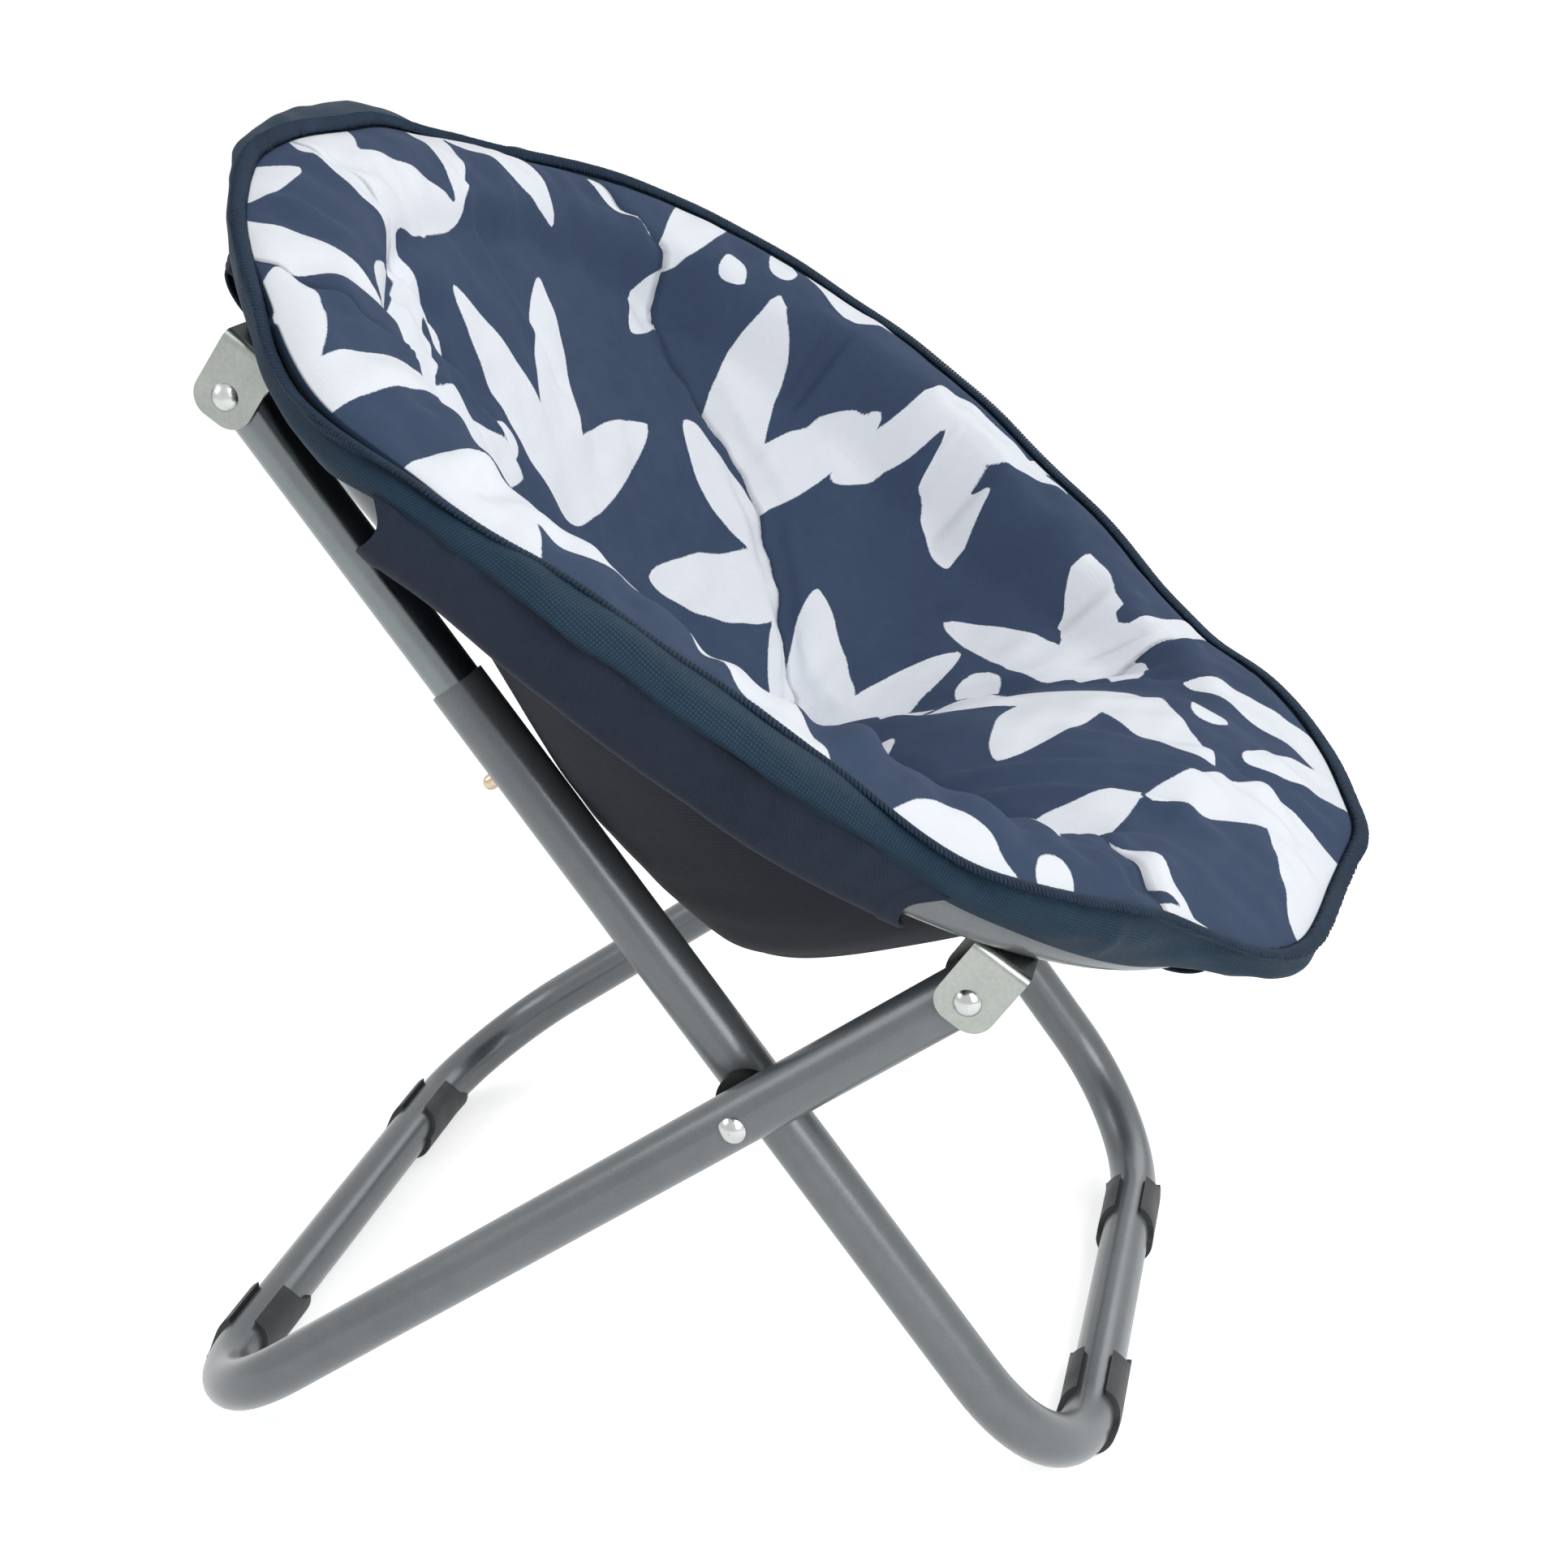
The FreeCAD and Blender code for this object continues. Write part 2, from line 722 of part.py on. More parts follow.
def cushion_section(place):
    """One cross-section of the cushion: bottom, drawn-in sides, roll, walls and seat pad."""
    side = math.sqrt(cushion_radius ** 2 - place ** 2)
    edge = math.sqrt(shell_edge_radius ** 2 - place ** 2)
    base = edge - shell_cloth - cushion_gap
    base_level = shell_edge_level + cushion_gap
    low = shell_edge_level - shell_sag(place) + shell_cloth + cushion_gap
    shoulder = side - cushion_shoulder_tuck
    crown = chord_across(cushion_crown_inset, place, shoulder, least_crown_share)
    inner = chord_across(2 * cushion_crown_inset, place, shoulder, least_inner_share)
    fold = max(pad_half_width(place), least_fold_share * inner)
    fold = min(fold, most_fold_share * inner)

    def at(across, level):
        return Vector(across, place, level)

    def top(across):
        return at(across, cushion_level(across, place))

    wall = (inner + fold) / 2
    return Part.Wire(
        [
            arc(at(-base, base_level), at(0, low), at(base, base_level)),
            arc(at(base, base_level), at(side, cushion_side_level), top(shoulder)),
            arc_or_line(top(shoulder), top(crown), top(inner)),
            arc_or_line(top(inner), top(wall), top(fold)),
            arc_or_line(top(fold), top(0), top(-fold)),
            arc_or_line(top(-fold), top(-wall), top(-inner)),
            arc_or_line(top(-inner), top(-crown), top(-shoulder)),
            arc(top(-shoulder), at(-side, cushion_side_level), at(-base, base_level)),
        ]
    )


def seat_cushion():
    """Padded lining: a loft with a raised rim, a shallow front and a deep hollow."""
    sections = [cushion_section(place) for place in stations()]
    return Part.makeLoft(sections, True, False)


def cross_rivet():
    """Left rivet of a leg crossing, from its head to the face of the inner tube."""
    start = rear_leg_half_width + leg_tube_radius + touch_gap
    end = front_leg_half_width + leg_tube_radius + running_gap
    rivet = domed_pin(
        pin_radius, start - end, pivot_head_diameter / 2, pivot_head_height, 0, 0
    )
    rivet.translate(Vector(-start, 0, 0))
    return rivet


def cross_rivet_tail():
    """Left inner end of the cross rivet, through the inner tube to its own head."""
    outer = front_leg_half_width + leg_tube_radius
    inner = front_leg_half_width - leg_tube_radius - touch_gap
    tail = domed_pin(
        pin_radius, outer - inner, pivot_tail_diameter / 2, pivot_tail_height, 0, 0
    )
    tail.rotate(Vector(0, 0, 0), UPWARDS, 180)
    tail.translate(Vector(-inner, 0, 0))
    return tail


def cross_spacer():
    """Left washer between the two tubes of a crossing."""
    outer = Vector(-rear_leg_half_width + leg_tube_radius + touch_gap, 0, 0)
    inner = Vector(-front_leg_half_width - leg_tube_radius - running_gap, 0, 0)
    over = Vector(cut_overrun, 0, 0)
    washer = rod(spacer_diameter / 2, outer, inner)
    return washer.cut(rod(pin_radius + touch_gap, outer - over, inner + over))


def clip_path(half_width, foot):
    """Centreline under a left clip: a straight run of floor bar and part of its bend."""
    turn = math.radians(clip_bend_angle)
    start = leg_bend_radius - half_width
    edges = [
        line(Vector(start + clip_straight_length, -foot, 0), Vector(start, -foot, 0)),
        arc(
            Vector(start, -foot, 0),
            Vector(
                start - leg_bend_radius * math.sin(turn / 2),
                leg_bend_radius * (1 - math.cos(turn / 2)) - foot,
                0,
            ),
            Vector(
                start - leg_bend_radius * math.sin(turn),
                leg_bend_radius * (1 - math.cos(turn)) - foot,
                0,
            ),
        ),
    ]
    return Part.Wire(edges)


def foot_clip(half_width, foot, placement, bar_place):
    """Left snap-on clip, made in place: a sleeve, slotted on top, with scalloped ends."""
    start = Vector(leg_bend_radius - half_width + clip_straight_length, -foot, 0)
    along = Vector(-1, 0, 0)
    path = clip_path(half_width, foot)
    sleeve = swept_bar(path, clip_outer_radius, start, along)
    sleeve = sleeve.cut(swept_bar(path, leg_tube_radius + touch_gap, start, along))
    sleeve.Placement = placement
    inner_end = start.x
    outer_end = leg_bend_radius - half_width - leg_bend_radius * math.sin(math.radians(clip_bend_angle))
    size = 2 * clip_outer_radius
    slot = Part.makeBox(
        inner_end - outer_end + 2 * cut_overrun,
        clip_slot_width,
        size,
        Vector(outer_end - cut_overrun, bar_place - clip_slot_width / 2, foot_height),
    )
    clip = sleeve.cut(slot)
    for end in (inner_end, outer_end):
        low = Vector(end, bar_place - size, foot_height + clip_scallop_radius)
        clip = clip.cut(rod(clip_scallop_radius, low, low + Vector(0, 2 * size, 0)))
    floor = Part.makeBox(
        inner_end - outer_end + 2 * cut_overrun,
        2 * size,
        size,
        Vector(outer_end - cut_overrun, bar_place - size, -size),
    )
    return clip.cut(floor)


def placed(shape, placement):
    moved = shape.copy()
    moved.Placement = placement.multiply(moved.Placement)
    return moved


# Where the frames stand, first with the crossing over Y zero
crossing = Vector(0, 0, cross_pivot_height)
front_pivot = crossing - slanted(rear_leg_upper, -rear_leg_angle)
rear_pivot = crossing + slanted(front_leg_upper, front_leg_angle)
ring_front = front_pivot + slanted(pivot_drop, seat_tilt_angle + 90)
ring_centre = ring_front + slanted(front_pivot_reach, seat_tilt_angle)
front_foot = crossing - slanted(front_leg_lower, front_leg_angle)
rear_foot = crossing + slanted(rear_leg_lower, -rear_leg_angle)

seat_placement = FreeCAD.Placement(ring_centre, FreeCAD.Rotation(CROSSWAYS, seat_tilt_angle))
front_placement = FreeCAD.Placement(crossing, FreeCAD.Rotation(CROSSWAYS, front_leg_angle))
rear_placement = FreeCAD.Placement(crossing, FreeCAD.Rotation(CROSSWAYS, 180 - rear_leg_angle))


def seat_pieces():
    """The ring, its brackets and rivets, and all of the cloth."""
    pieces = {"seat_ring": seat_ring()}
    fixings = []
    names = ("rear", "front")
    radii = (slide_tube_radius, leg_tube_radius)
    for name, tube_radius, (half_width, reach) in zip(names, radii, bracket_places()):
        pivot = Vector(0, reach, -pivot_drop)
        clevis = bracket(half_width, tube_radius)
        rivet = pivot_rivet(half_width, tube_radius)
        fixing = bracket_fixing()
        fixing.translate(Vector(-half_width, 0, 0))
        for shape in (clevis, rivet, fixing):
            shape.translate(pivot)
        pieces[name + "_bracket_left"] = clevis
        pieces[name + "_bracket_right"] = mirrored(clevis)
        pieces[name + "_pivot_rivet_left"] = rivet
        pieces[name + "_pivot_rivet_right"] = mirrored(rivet)
        fixings += [fixing, mirrored(fixing)]
    pieces["bracket_fixings"] = Part.makeCompound(fixings)
    pieces["rim_border"] = rim_border()
    side_pocket = pocket(
        rear_bracket_angle + ring_angle(side_pocket_rear_gap),
        front_bracket_angle - ring_angle(side_pocket_front_gap),
    )
    rear_reach = rear_bracket_angle - ring_angle(rear_pocket_gap)
    front_reach = front_bracket_angle + ring_angle(front_pocket_gap)
    pieces["side_pocket_right"] = side_pocket
    pieces["side_pocket_left"] = mirrored(side_pocket)
    pieces["rear_pocket"] = pocket(-rear_reach, rear_reach)
    pieces["front_pocket"] = pocket(front_reach, 360 - front_reach)
    pieces["seat_shell"] = seat_shell()
    pieces["seat_cushion"] = seat_cushion()
    return {name: placed(shape, seat_placement) for name, shape in pieces.items()}


def front_frame_pieces():
    """The front-foot frame, the tubes that slide in it, and the catches."""
    pieces = {"front_leg_frame": front_leg_frame()}
    tail = cross_rivet_tail()
    pieces["cross_rivet_tails"] = Part.makeCompound([tail, mirrored(tail)])
    for name, shape in (
        ("slide_tube", slide_tube()),
        ("button_spring", button_spring()),
        ("snap_button", snap_button()),
    ):
        pieces[name + "_left"] = shape
        pieces[name + "_right"] = mirrored(shape)
    pieces = {name: placed(shape, front_placement) for name, shape in pieces.items()}
    clip = foot_clip(front_leg_half_width, front_leg_lower, front_placement, front_foot.y)
    pieces["front_foot_clips"] = Part.makeCompound([clip, mirrored(clip)])
    return pieces


def rear_frame_pieces():
    """The rear-foot frame with its cross rivets, spacers and clips."""
    rivet = cross_rivet()
    spacer = cross_spacer()
    pieces = {
        "rear_leg_frame": rear_leg_frame(),
        "cross_rivets": Part.makeCompound([rivet, mirrored(rivet)]),
        "cross_spacers": Part.makeCompound([spacer, mirrored(spacer)]),
    }
    pieces = {name: placed(shape, rear_placement) for name, shape in pieces.items()}
    clip = foot_clip(rear_leg_half_width, rear_leg_lower, rear_placement, rear_foot.y)
    pieces["rear_foot_clips"] = Part.makeCompound([clip, mirrored(clip)])
    return pieces


def chair_pieces():
    """Every piece in place, with the middle of the chair's length over Y zero."""
    pieces = {}
    pieces.update(seat_pieces())
    pieces.update(front_frame_pieces())
    pieces.update(rear_frame_pieces())
    front = pieces["rim_border"].optimalBoundingBox(False).YMin
    rear = pieces["rear_foot_clips"].optimalBoundingBox(False).YMax
    shift = Vector(0, -(front + rear) / 2, 0)
    for shape in pieces.values():
        shape.translate(shift)
    return pieces, shift


chair, chair_shift = chair_pieces()
os.makedirs("parts", exist_ok=True)
for node, solid in chair.items():
    solid.exportStep("parts/" + node + ".step")
print("pieces", len(chair), "shift", round(chair_shift.y, 2))
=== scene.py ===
import math

import bmesh
import bpy
import numpy as np
from mathutils import Matrix, Vector


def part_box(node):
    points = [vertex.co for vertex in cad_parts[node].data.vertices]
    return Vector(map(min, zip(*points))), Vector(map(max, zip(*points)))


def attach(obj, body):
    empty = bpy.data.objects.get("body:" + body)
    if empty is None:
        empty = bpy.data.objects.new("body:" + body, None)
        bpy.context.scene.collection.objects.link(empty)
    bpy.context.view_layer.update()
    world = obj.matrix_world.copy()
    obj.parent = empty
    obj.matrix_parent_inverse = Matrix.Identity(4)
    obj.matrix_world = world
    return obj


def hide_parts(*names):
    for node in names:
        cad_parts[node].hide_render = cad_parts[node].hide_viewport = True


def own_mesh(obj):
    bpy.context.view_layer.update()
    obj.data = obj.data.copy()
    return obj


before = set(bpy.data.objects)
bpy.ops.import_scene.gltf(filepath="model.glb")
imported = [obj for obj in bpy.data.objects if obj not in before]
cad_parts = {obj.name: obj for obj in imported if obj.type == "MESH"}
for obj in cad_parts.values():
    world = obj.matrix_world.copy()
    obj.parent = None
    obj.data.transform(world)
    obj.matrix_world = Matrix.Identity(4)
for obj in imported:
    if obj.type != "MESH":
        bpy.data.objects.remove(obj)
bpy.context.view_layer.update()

# The look of the moon chair: its padded cloth seat is made here, round the seat ring,
# and its tubes and fittings keep their solids and get their finishes.
# Shapes of the seat are worked out in millimetres in the seat's own frame: across to
# the chair's right, along up the slope of the ring, and level above the ring's plane.
# Angles round the ring start at its rear and turn to the chair's right.

# A millimetre in metres, and the length of a degree of arc at a radius of one
MM = 0.001
DEGREE_ARC = 0.0175

TUBE_RADIUS = 12.5
ring_low, ring_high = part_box("seat_ring")
RING_CENTRE = (ring_low + ring_high) / 2
RING_RADIUS = ring_high.x / MM - TUBE_RADIUS
RING_TILT = math.acos((ring_high.y - RING_CENTRE.y - TUBE_RADIUS * MM) / (RING_RADIUS * MM))
SEAT_NORMAL = (0.0, -math.sin(RING_TILT), math.cos(RING_TILT))

# The hanging shell: its edge, the least sag of its cloth, its deepest place, and its seams
SHELL_RADIUS = 255.5
SHELL_LEVEL = -2.0
SHELL_SAG = 3.0
SHELL_DEPTH = 155.2
SHELL_SHIFT = 90.0
SHELL_SEAM_ANGLES = (40, 137, -137, -40)

# The cushion: its hollow, the roll round it, and its cover over the ring's tube. A level
# far below stands for none where two levels are compared.
CUSHION_RADIUS = 257.6
CUSHION_SHIFT = 48.0
CUSHION_GAP = 3.4
CUSHION_PADDING = 21.0
HOLLOW_EDGE_LEVEL = 12
ROLL_INSET = 18.0
ROLL_RADIUS = 17
CROWN_LEVEL = 27.5
CROWN_FRONT_RISE = 12
TUBE_COVER_LEVEL = 20.5
TUBE_COVER_REACH = 22
FAR_BELOW = -999.0

# The seat pad: how deep it lies as a share of the shell's depth, where it is highest,
# how it falls to its ends and sides, and how far its filling lifts it
PAD_DROP_SHARE = 0.615
PAD_MIDDLE_SHIFT = 150
PAD_HALF_LENGTH = 80
PAD_END_FALL = 12
PAD_SIDE_FALL = 30
PAD_NARROW_HALF_WIDTH = 24
PAD_SPREAD = 0.95
PAD_LIFT = 10
PAD_LIFT_REACH = 26

# The panels' seams: the back and the seat panel meet at the foot of a fan. The squares
# turn a length across or along into one square to the fan's slanted seam.
FAN_FOOT = -78
FAN_HALF_WIDTH = 4
FAN_SLOPE = 1.19
FAN_SEAT_SQUARE = 0.64
FAN_BACK_SQUARE = 0.76
BACK_FOOT = -70
BACK_FLARE_LENGTH = 130
BACK_NARROW_HALF_WIDTH = 66
BACK_FLARE = 106
REAR_SEAM_ANGLE = -12
REAR_SEAM_END = 150

CLOTH_STEPS = 112
PUFF_START = 4.0
PUFF_CAP = 7.0

# How the cover lies on the ring, at angles round it in degrees: the level of the border's
# lower seam, the radius and level where the border is widest, and the radius and level of
# the overlock seam between the border and the cushion.
RIM_STATIONS = (
    (0, 0, 296, 20, 275, 25),
    (8, 0, 298, 19, 276, 24),
    (14, 0, 297, 16, 277, 21),
    (19, 0, 290, 11, 278, 16),
    (27, 0, 288, 11, 274, 18),
    (37, 1, 288, 17, 270, 24.5),
    (46, 2, 288, 21, 267, 32),
    (60, 8, 288.5, 21, 266, 34.5),
    (75, 14, 289, 21, 266, 36),
    (90, 16, 289, 21, 266, 36),
    (102, 16, 289, 20, 265, 34),
    (112, 11, 288.5, 18, 266, 30),
    (120, 7, 288.5, 19, 268, 30.5),
    (130, 4, 288, 18, 270, 27),
    (140, 4, 289, 20, 276, 28),
    (148, 6, 292, 35, 281, 40),
    (155, 9, 299, 40, 291, 43),
    (161, 11, 308, 40, 299, 43),
    (169, 12, 309, 41, 302, 43),
    (175, 12, 315, 41, 308, 43),
    (180, 11, 310, 32, 303, 36),
    (186, 9, 308, 26, 302, 31),
    (193, 7, 310, 22, 305, 29.5),
    (199, 5, 317, 16, 309, 27.5),
    (206, 2, 305, 11, 306, 24),
    (213, -1, 294, 13, 293, 27),
    (219, 0, 289, 15, 284, 29),
    (226, 2, 289, 14, 283, 27),
    (233, 4.5, 289, 14, 283, 25.5),
    (240, 6, 288, 14, 283, 22),
    (246, 11, 289, 18, 279, 23),
    (252, 15, 289, 20, 266, 25),
    (260, 16, 289, 20, 261, 26),
    (270, 16, 289, 20, 263, 26),
    (277, 15.5, 289, 19.5, 266, 25.5),
    (281, 14, 288.5, 18, 269, 24.5),
    (286, 10, 288, 14, 275, 20),
    (293, 4, 287, 9, 282, 15.5),
    (296, 0, 287, 7, 283.5, 13),
    (301, -11, 286.5, 2, 286.5, 7.5),
    (306, -13, 289.5, -2, 289, 2),
    (312, -12, 290.5, -1, 289, 3.5),
    (316, -6, 289.5, 3, 287.5, 7.5),
    (320, -5, 291, 6, 289, 10.5),
    (328, -4, 294, 11, 291, 14.5),
    (335, -2, 297, 14, 292, 17.5),
    (342, 0, 301, 15, 291.5, 20),
    (350, 0, 299, 18, 284, 23),
)


def seat_points(across, along, level):
    """Places of the seat's frame, in millimetres, as points of the room in metres."""
    across, along, level = np.broadcast_arrays(across, along, level)
    cosine, sine = math.cos(RING_TILT), math.sin(RING_TILT)
    x = RING_CENTRE.x + across * MM
    y = RING_CENTRE.y + (along * cosine - level * sine) * MM
    z = RING_CENTRE.z + (along * sine + level * cosine) * MM
    return np.stack([x, y, z], axis=-1)


def seat_places(points):
    """The reverse: points of the room as places across, along and above the ring, in mm."""
    cosine, sine = math.cos(RING_TILT), math.sin(RING_TILT)
    x, y, z = np.moveaxis(points - np.array(RING_CENTRE), -1, 0) / MM
    return x, y * cosine + z * sine, z * cosine - y * sine


def ring_points(angle, radius, level):
    """Points at an angle round the ring, so far from its centre and above its plane."""
    return seat_points(radius * np.sin(angle), radius * np.cos(angle), level)


def waves(places, length, seed, count=14):
    """Smooth noise of about -1 to 1: a sum of sine waves in random directions."""
    chance = np.random.default_rng(seed)
    ways = chance.normal(size=(places.shape[-1], count))
    ways *= chance.uniform(0.6, 1.5, count) / np.linalg.norm(ways, axis=0)
    phases = chance.uniform(0, 2 * math.pi, count)
    return np.sin(places @ ways * (2 * math.pi / length) + phases).sum(axis=-1) / math.sqrt(count)


def ring_waves(angle, count, seed, lowest=1):
    """Noise round the ring of about -1 to 1, which meets itself: sines of whole turns."""
    chance = np.random.default_rng(seed)
    turns = np.arange(lowest, lowest + count)
    phases = chance.uniform(0, 2 * math.pi, count)
    heights = chance.uniform(0.4, 1.0, count)
    total = (heights * np.sin(angle[..., None] * turns + phases)).sum(axis=-1)
    return total / math.sqrt((heights ** 2).sum())


def rim_lines():
    """The rim's stations as smooth lines: straight from one to the next, then averaged."""
    stations = np.array(RIM_STATIONS, dtype=float).T
    degrees = np.arange(0, 360, 0.5)
    weights = bump_at(np.arange(-12, 13), 0, 6)
    weights /= weights.sum()
    lines = []
    for values in stations[1:]:
        line = np.interp(degrees, stations[0], values, period=360)
        line = np.concatenate([line[-12:], line, line[:12]])
        lines.append(np.convolve(line, weights, mode="valid"))
    return degrees, lines


def rim_at(angle, number):
    """One of the rim's lines at angles round the ring."""
    return np.interp(np.degrees(angle), RIM_DEGREES, RIM_LINES[number], period=360)


def bump_at(value, middle, width):
    """A smooth bell: one at its middle, and near nothing at twice its width."""
    return np.exp(-(((value - middle) / width) ** 2))


def turned(angle, middle):
    """How far an angle is from another, the short way round, in degrees."""
    return (np.degrees(angle) - middle + 180) % 360 - 180


RIM_DEGREES, RIM_LINES = rim_lines()


def smooth_line(knots, steps, closed=False):
    """A smooth line through knots: a Catmull-Rom curve with so many steps a span."""
    knots = np.asarray(knots, dtype=float)
    count = knots.shape[-2]
    spans = np.arange(count if closed else count - 1)
    picks = [spans - 1, spans, spans + 1, spans + 2]
    picks = [p % count for p in picks] if closed else [np.clip(p, 0, count - 1) for p in picks]
    a, b, c, d = (knots[..., p, None, :] for p in picks)
    t = (np.arange(steps) / steps)[:, None]
    line = 0.5 * (
        2 * b
        + (c - a) * t
        + (2 * a - 5 * b + 4 * c - d) * t ** 2
        + (3 * b - a - 3 * c + d) * t ** 3
    )
    line = line.reshape(*knots.shape[:-2], -1, knots.shape[-1])
    return line if closed else np.concatenate([line, knots[..., -1:, :]], axis=-2)


def line_lengths(points):
    """Length along a line up to each of its points."""
    steps = np.linalg.norm(np.diff(points, axis=0), axis=1)
    return np.concatenate([[0.0], np.cumsum(steps)])


def new_piece(name, points, faces, corner_uv=None):
    """A mesh piece of the scene from arrays of points and faces, with smooth shading."""
    mesh = bpy.data.meshes.new(name)
    mesh.from_pydata(points.reshape(-1, 3).tolist(), [], faces)
    if corner_uv is not None:
        layer = mesh.uv_layers.new(name="cloth")
        layer.data.foreach_set("uv", corner_uv.astype(np.float32).ravel())
    mesh.shade_smooth()
    mesh.update()
    piece = bpy.data.objects.new(name, mesh)
    bpy.context.scene.collection.objects.link(piece)
    return piece


def surface(name, grid, inside, closed_rows=False, closed_columns=False, poles=(), uv=None):
    """A surface over a grid of points, rows by columns.

    Each face joins a point to its neighbours in the next row and column. The first and
    the last row may close to a pole, by a fan to their middle. All faces are turned so
    that they look away from the points inside.
    """
    rows, columns = grid.shape[:2]
    i = np.arange(rows if closed_rows else rows - 1)[:, None]
    j = np.arange(columns if closed_columns else columns - 1)[None, :]
    corners = [(i, j), (i, j + 1), (i + 1, j + 1), (i + 1, j)]
    faces = np.stack([(a % rows) * columns + b % columns for a, b in corners], axis=-1)
    points = grid.reshape(-1, 3)
    centre = np.broadcast_to(inside, grid.shape).reshape(-1, 3)
    quads = faces.reshape(-1, 4)
    p = points[quads]
    look = np.cross(p[:, 2] - p[:, 0], p[:, 3] - p[:, 1])
    outwards = (look * (p - centre[quads]).mean(axis=1)).sum() > 0
    order = slice(None) if outwards else slice(None, None, -1)
    face_lists = quads[:, order].tolist()
    for row in poles:
        here = (row % rows) * columns + np.arange(columns)
        pair = (here, np.roll(here, -1)) if row else (np.roll(here, -1), here)
        fan = np.stack([np.full(columns, len(points)), *pair], axis=1)
        face_lists += fan[:, order].tolist()
        points = np.concatenate([points, grid[row].mean(axis=0)[None]])
    corner_uv = None
    if uv is not None:
        rows_uv, columns_uv = uv
        pairs = [
            np.stack(np.broadcast_arrays(columns_uv[b], rows_uv[a]), axis=-1) for a, b in corners
        ]
        corner_uv = np.stack(pairs, axis=2).reshape(-1, 4, 2)[:, order]
    return new_piece(name, points, face_lists, corner_uv)


def with_wall(piece, thickness):
    """Gives a sheet its thickness, on the side away from where its faces look."""
    wall = piece.modifiers.new("wall", "SOLIDIFY")
    wall.thickness = thickness * MM
    wall.offset = -1
    return piece


def settled(piece):
    """The piece's mesh with all its modifiers applied."""
    view = bpy.context.evaluated_depsgraph_get()
    mesh = bpy.data.meshes.new_from_object(piece.evaluated_get(view))
    piece.modifiers.clear()
    old = piece.data
    piece.data = mesh
    bpy.data.meshes.remove(old)
    mesh.name = piece.name
    return piece


def mesh_points(mesh):
    """A mesh's points as an array, one row of x, y and z each, in metres."""
    flat = np.empty(len(mesh.vertices) * 3, dtype=np.float32)
    mesh.vertices.foreach_get("co", flat)
    return flat.reshape(-1, 3).astype(float)


def move_points(mesh, points):
    """Moves a mesh's points to the places of an array."""
    mesh.vertices.foreach_set("co", points.astype(np.float32).ravel())
    mesh.update()


def mesh_area(piece):
    """Area of one side of a sheet that has no wall yet, in square metres."""
    areas = np.empty(len(piece.data.polygons), dtype=np.float32)
    piece.data.polygons.foreach_get("area", areas)
    return float(areas.sum())


# Forms of the hanging shell and of the cushion in it


def hollow_share(along, shift, reach, front_power, rear_power):
    """Share of a hollow's depth: one at its lowest place, none at the ring."""
    forward = along < -shift
    share = (along + shift) / np.where(forward, reach - shift, reach + shift)
    return np.clip(1 - share ** 2, 0, None) ** np.where(forward, front_power, rear_power)


def shell_level(across, along):
    """Level of the shell's outside: at each place along, an arc hung from edge to edge."""
    edge = np.sqrt(np.clip(SHELL_RADIUS ** 2 - along ** 2, 1.0, None))
    sag = SHELL_SAG + SHELL_DEPTH * hollow_share(along, SHELL_SHIFT, SHELL_RADIUS, 2, 1.8)
    radius = (edge ** 2 + sag ** 2) / (2 * sag)
    drop = np.sqrt(np.clip(radius ** 2 - np.clip(across, -edge, edge) ** 2, 0, None))
    return SHELL_LEVEL - sag + radius - drop


def softened_maximum(first, second, softness):
    """The higher of two levels, rounded off where they meet."""
    return (first + second + np.sqrt((first - second) ** 2 + softness ** 2)) / 2


def hollow_level(across, along):
    """Level of the cushion's hollow: a bowl, and a seat pad that lies level to the floor."""
    side = np.sqrt(np.clip(CUSHION_RADIUS ** 2 - along ** 2, 1.0, None))
    depth = SHELL_DEPTH - CUSHION_PADDING
    share = hollow_share(along, CUSHION_SHIFT, CUSHION_RADIUS, 3, 2)
    bowl = HOLLOW_EDGE_LEVEL - depth * share * np.clip(1 - (across / side) ** 2, 0, None)
    end = (along + PAD_MIDDLE_SHIFT) / PAD_HALF_LENGTH
    plumb = -PAD_DROP_SHARE * SHELL_DEPTH - PAD_END_FALL * end ** 2
    pad = (plumb - along * math.sin(RING_TILT)) / math.cos(RING_TILT)
    half_width = np.maximum(PAD_NARROW_HALF_WIDTH, -PAD_SPREAD * along)
    pad = pad - PAD_SIDE_FALL * (across / half_width) ** 2
    return softened_maximum(bowl, pad, 9)


def crown_level(along):
    """Level of the top of the cushion's roll, which rises towards the front."""
    return CROWN_LEVEL + CROWN_FRONT_RISE * np.clip(-along / CUSHION_RADIUS, 0, 1) ** 4


def stitch_radius(angle):
    """Distance from the ring's centre of the overlock seam between cushion and border."""
    return rim_at(angle, 3) + 0.5 * ring_waves(angle, 19, 5, 9)


def stitch_level(angle):
    """Level of the overlock seam above the ring's plane."""
    return rim_at(angle, 4) + 0.4 * ring_waves(angle, 19, 6, 9)


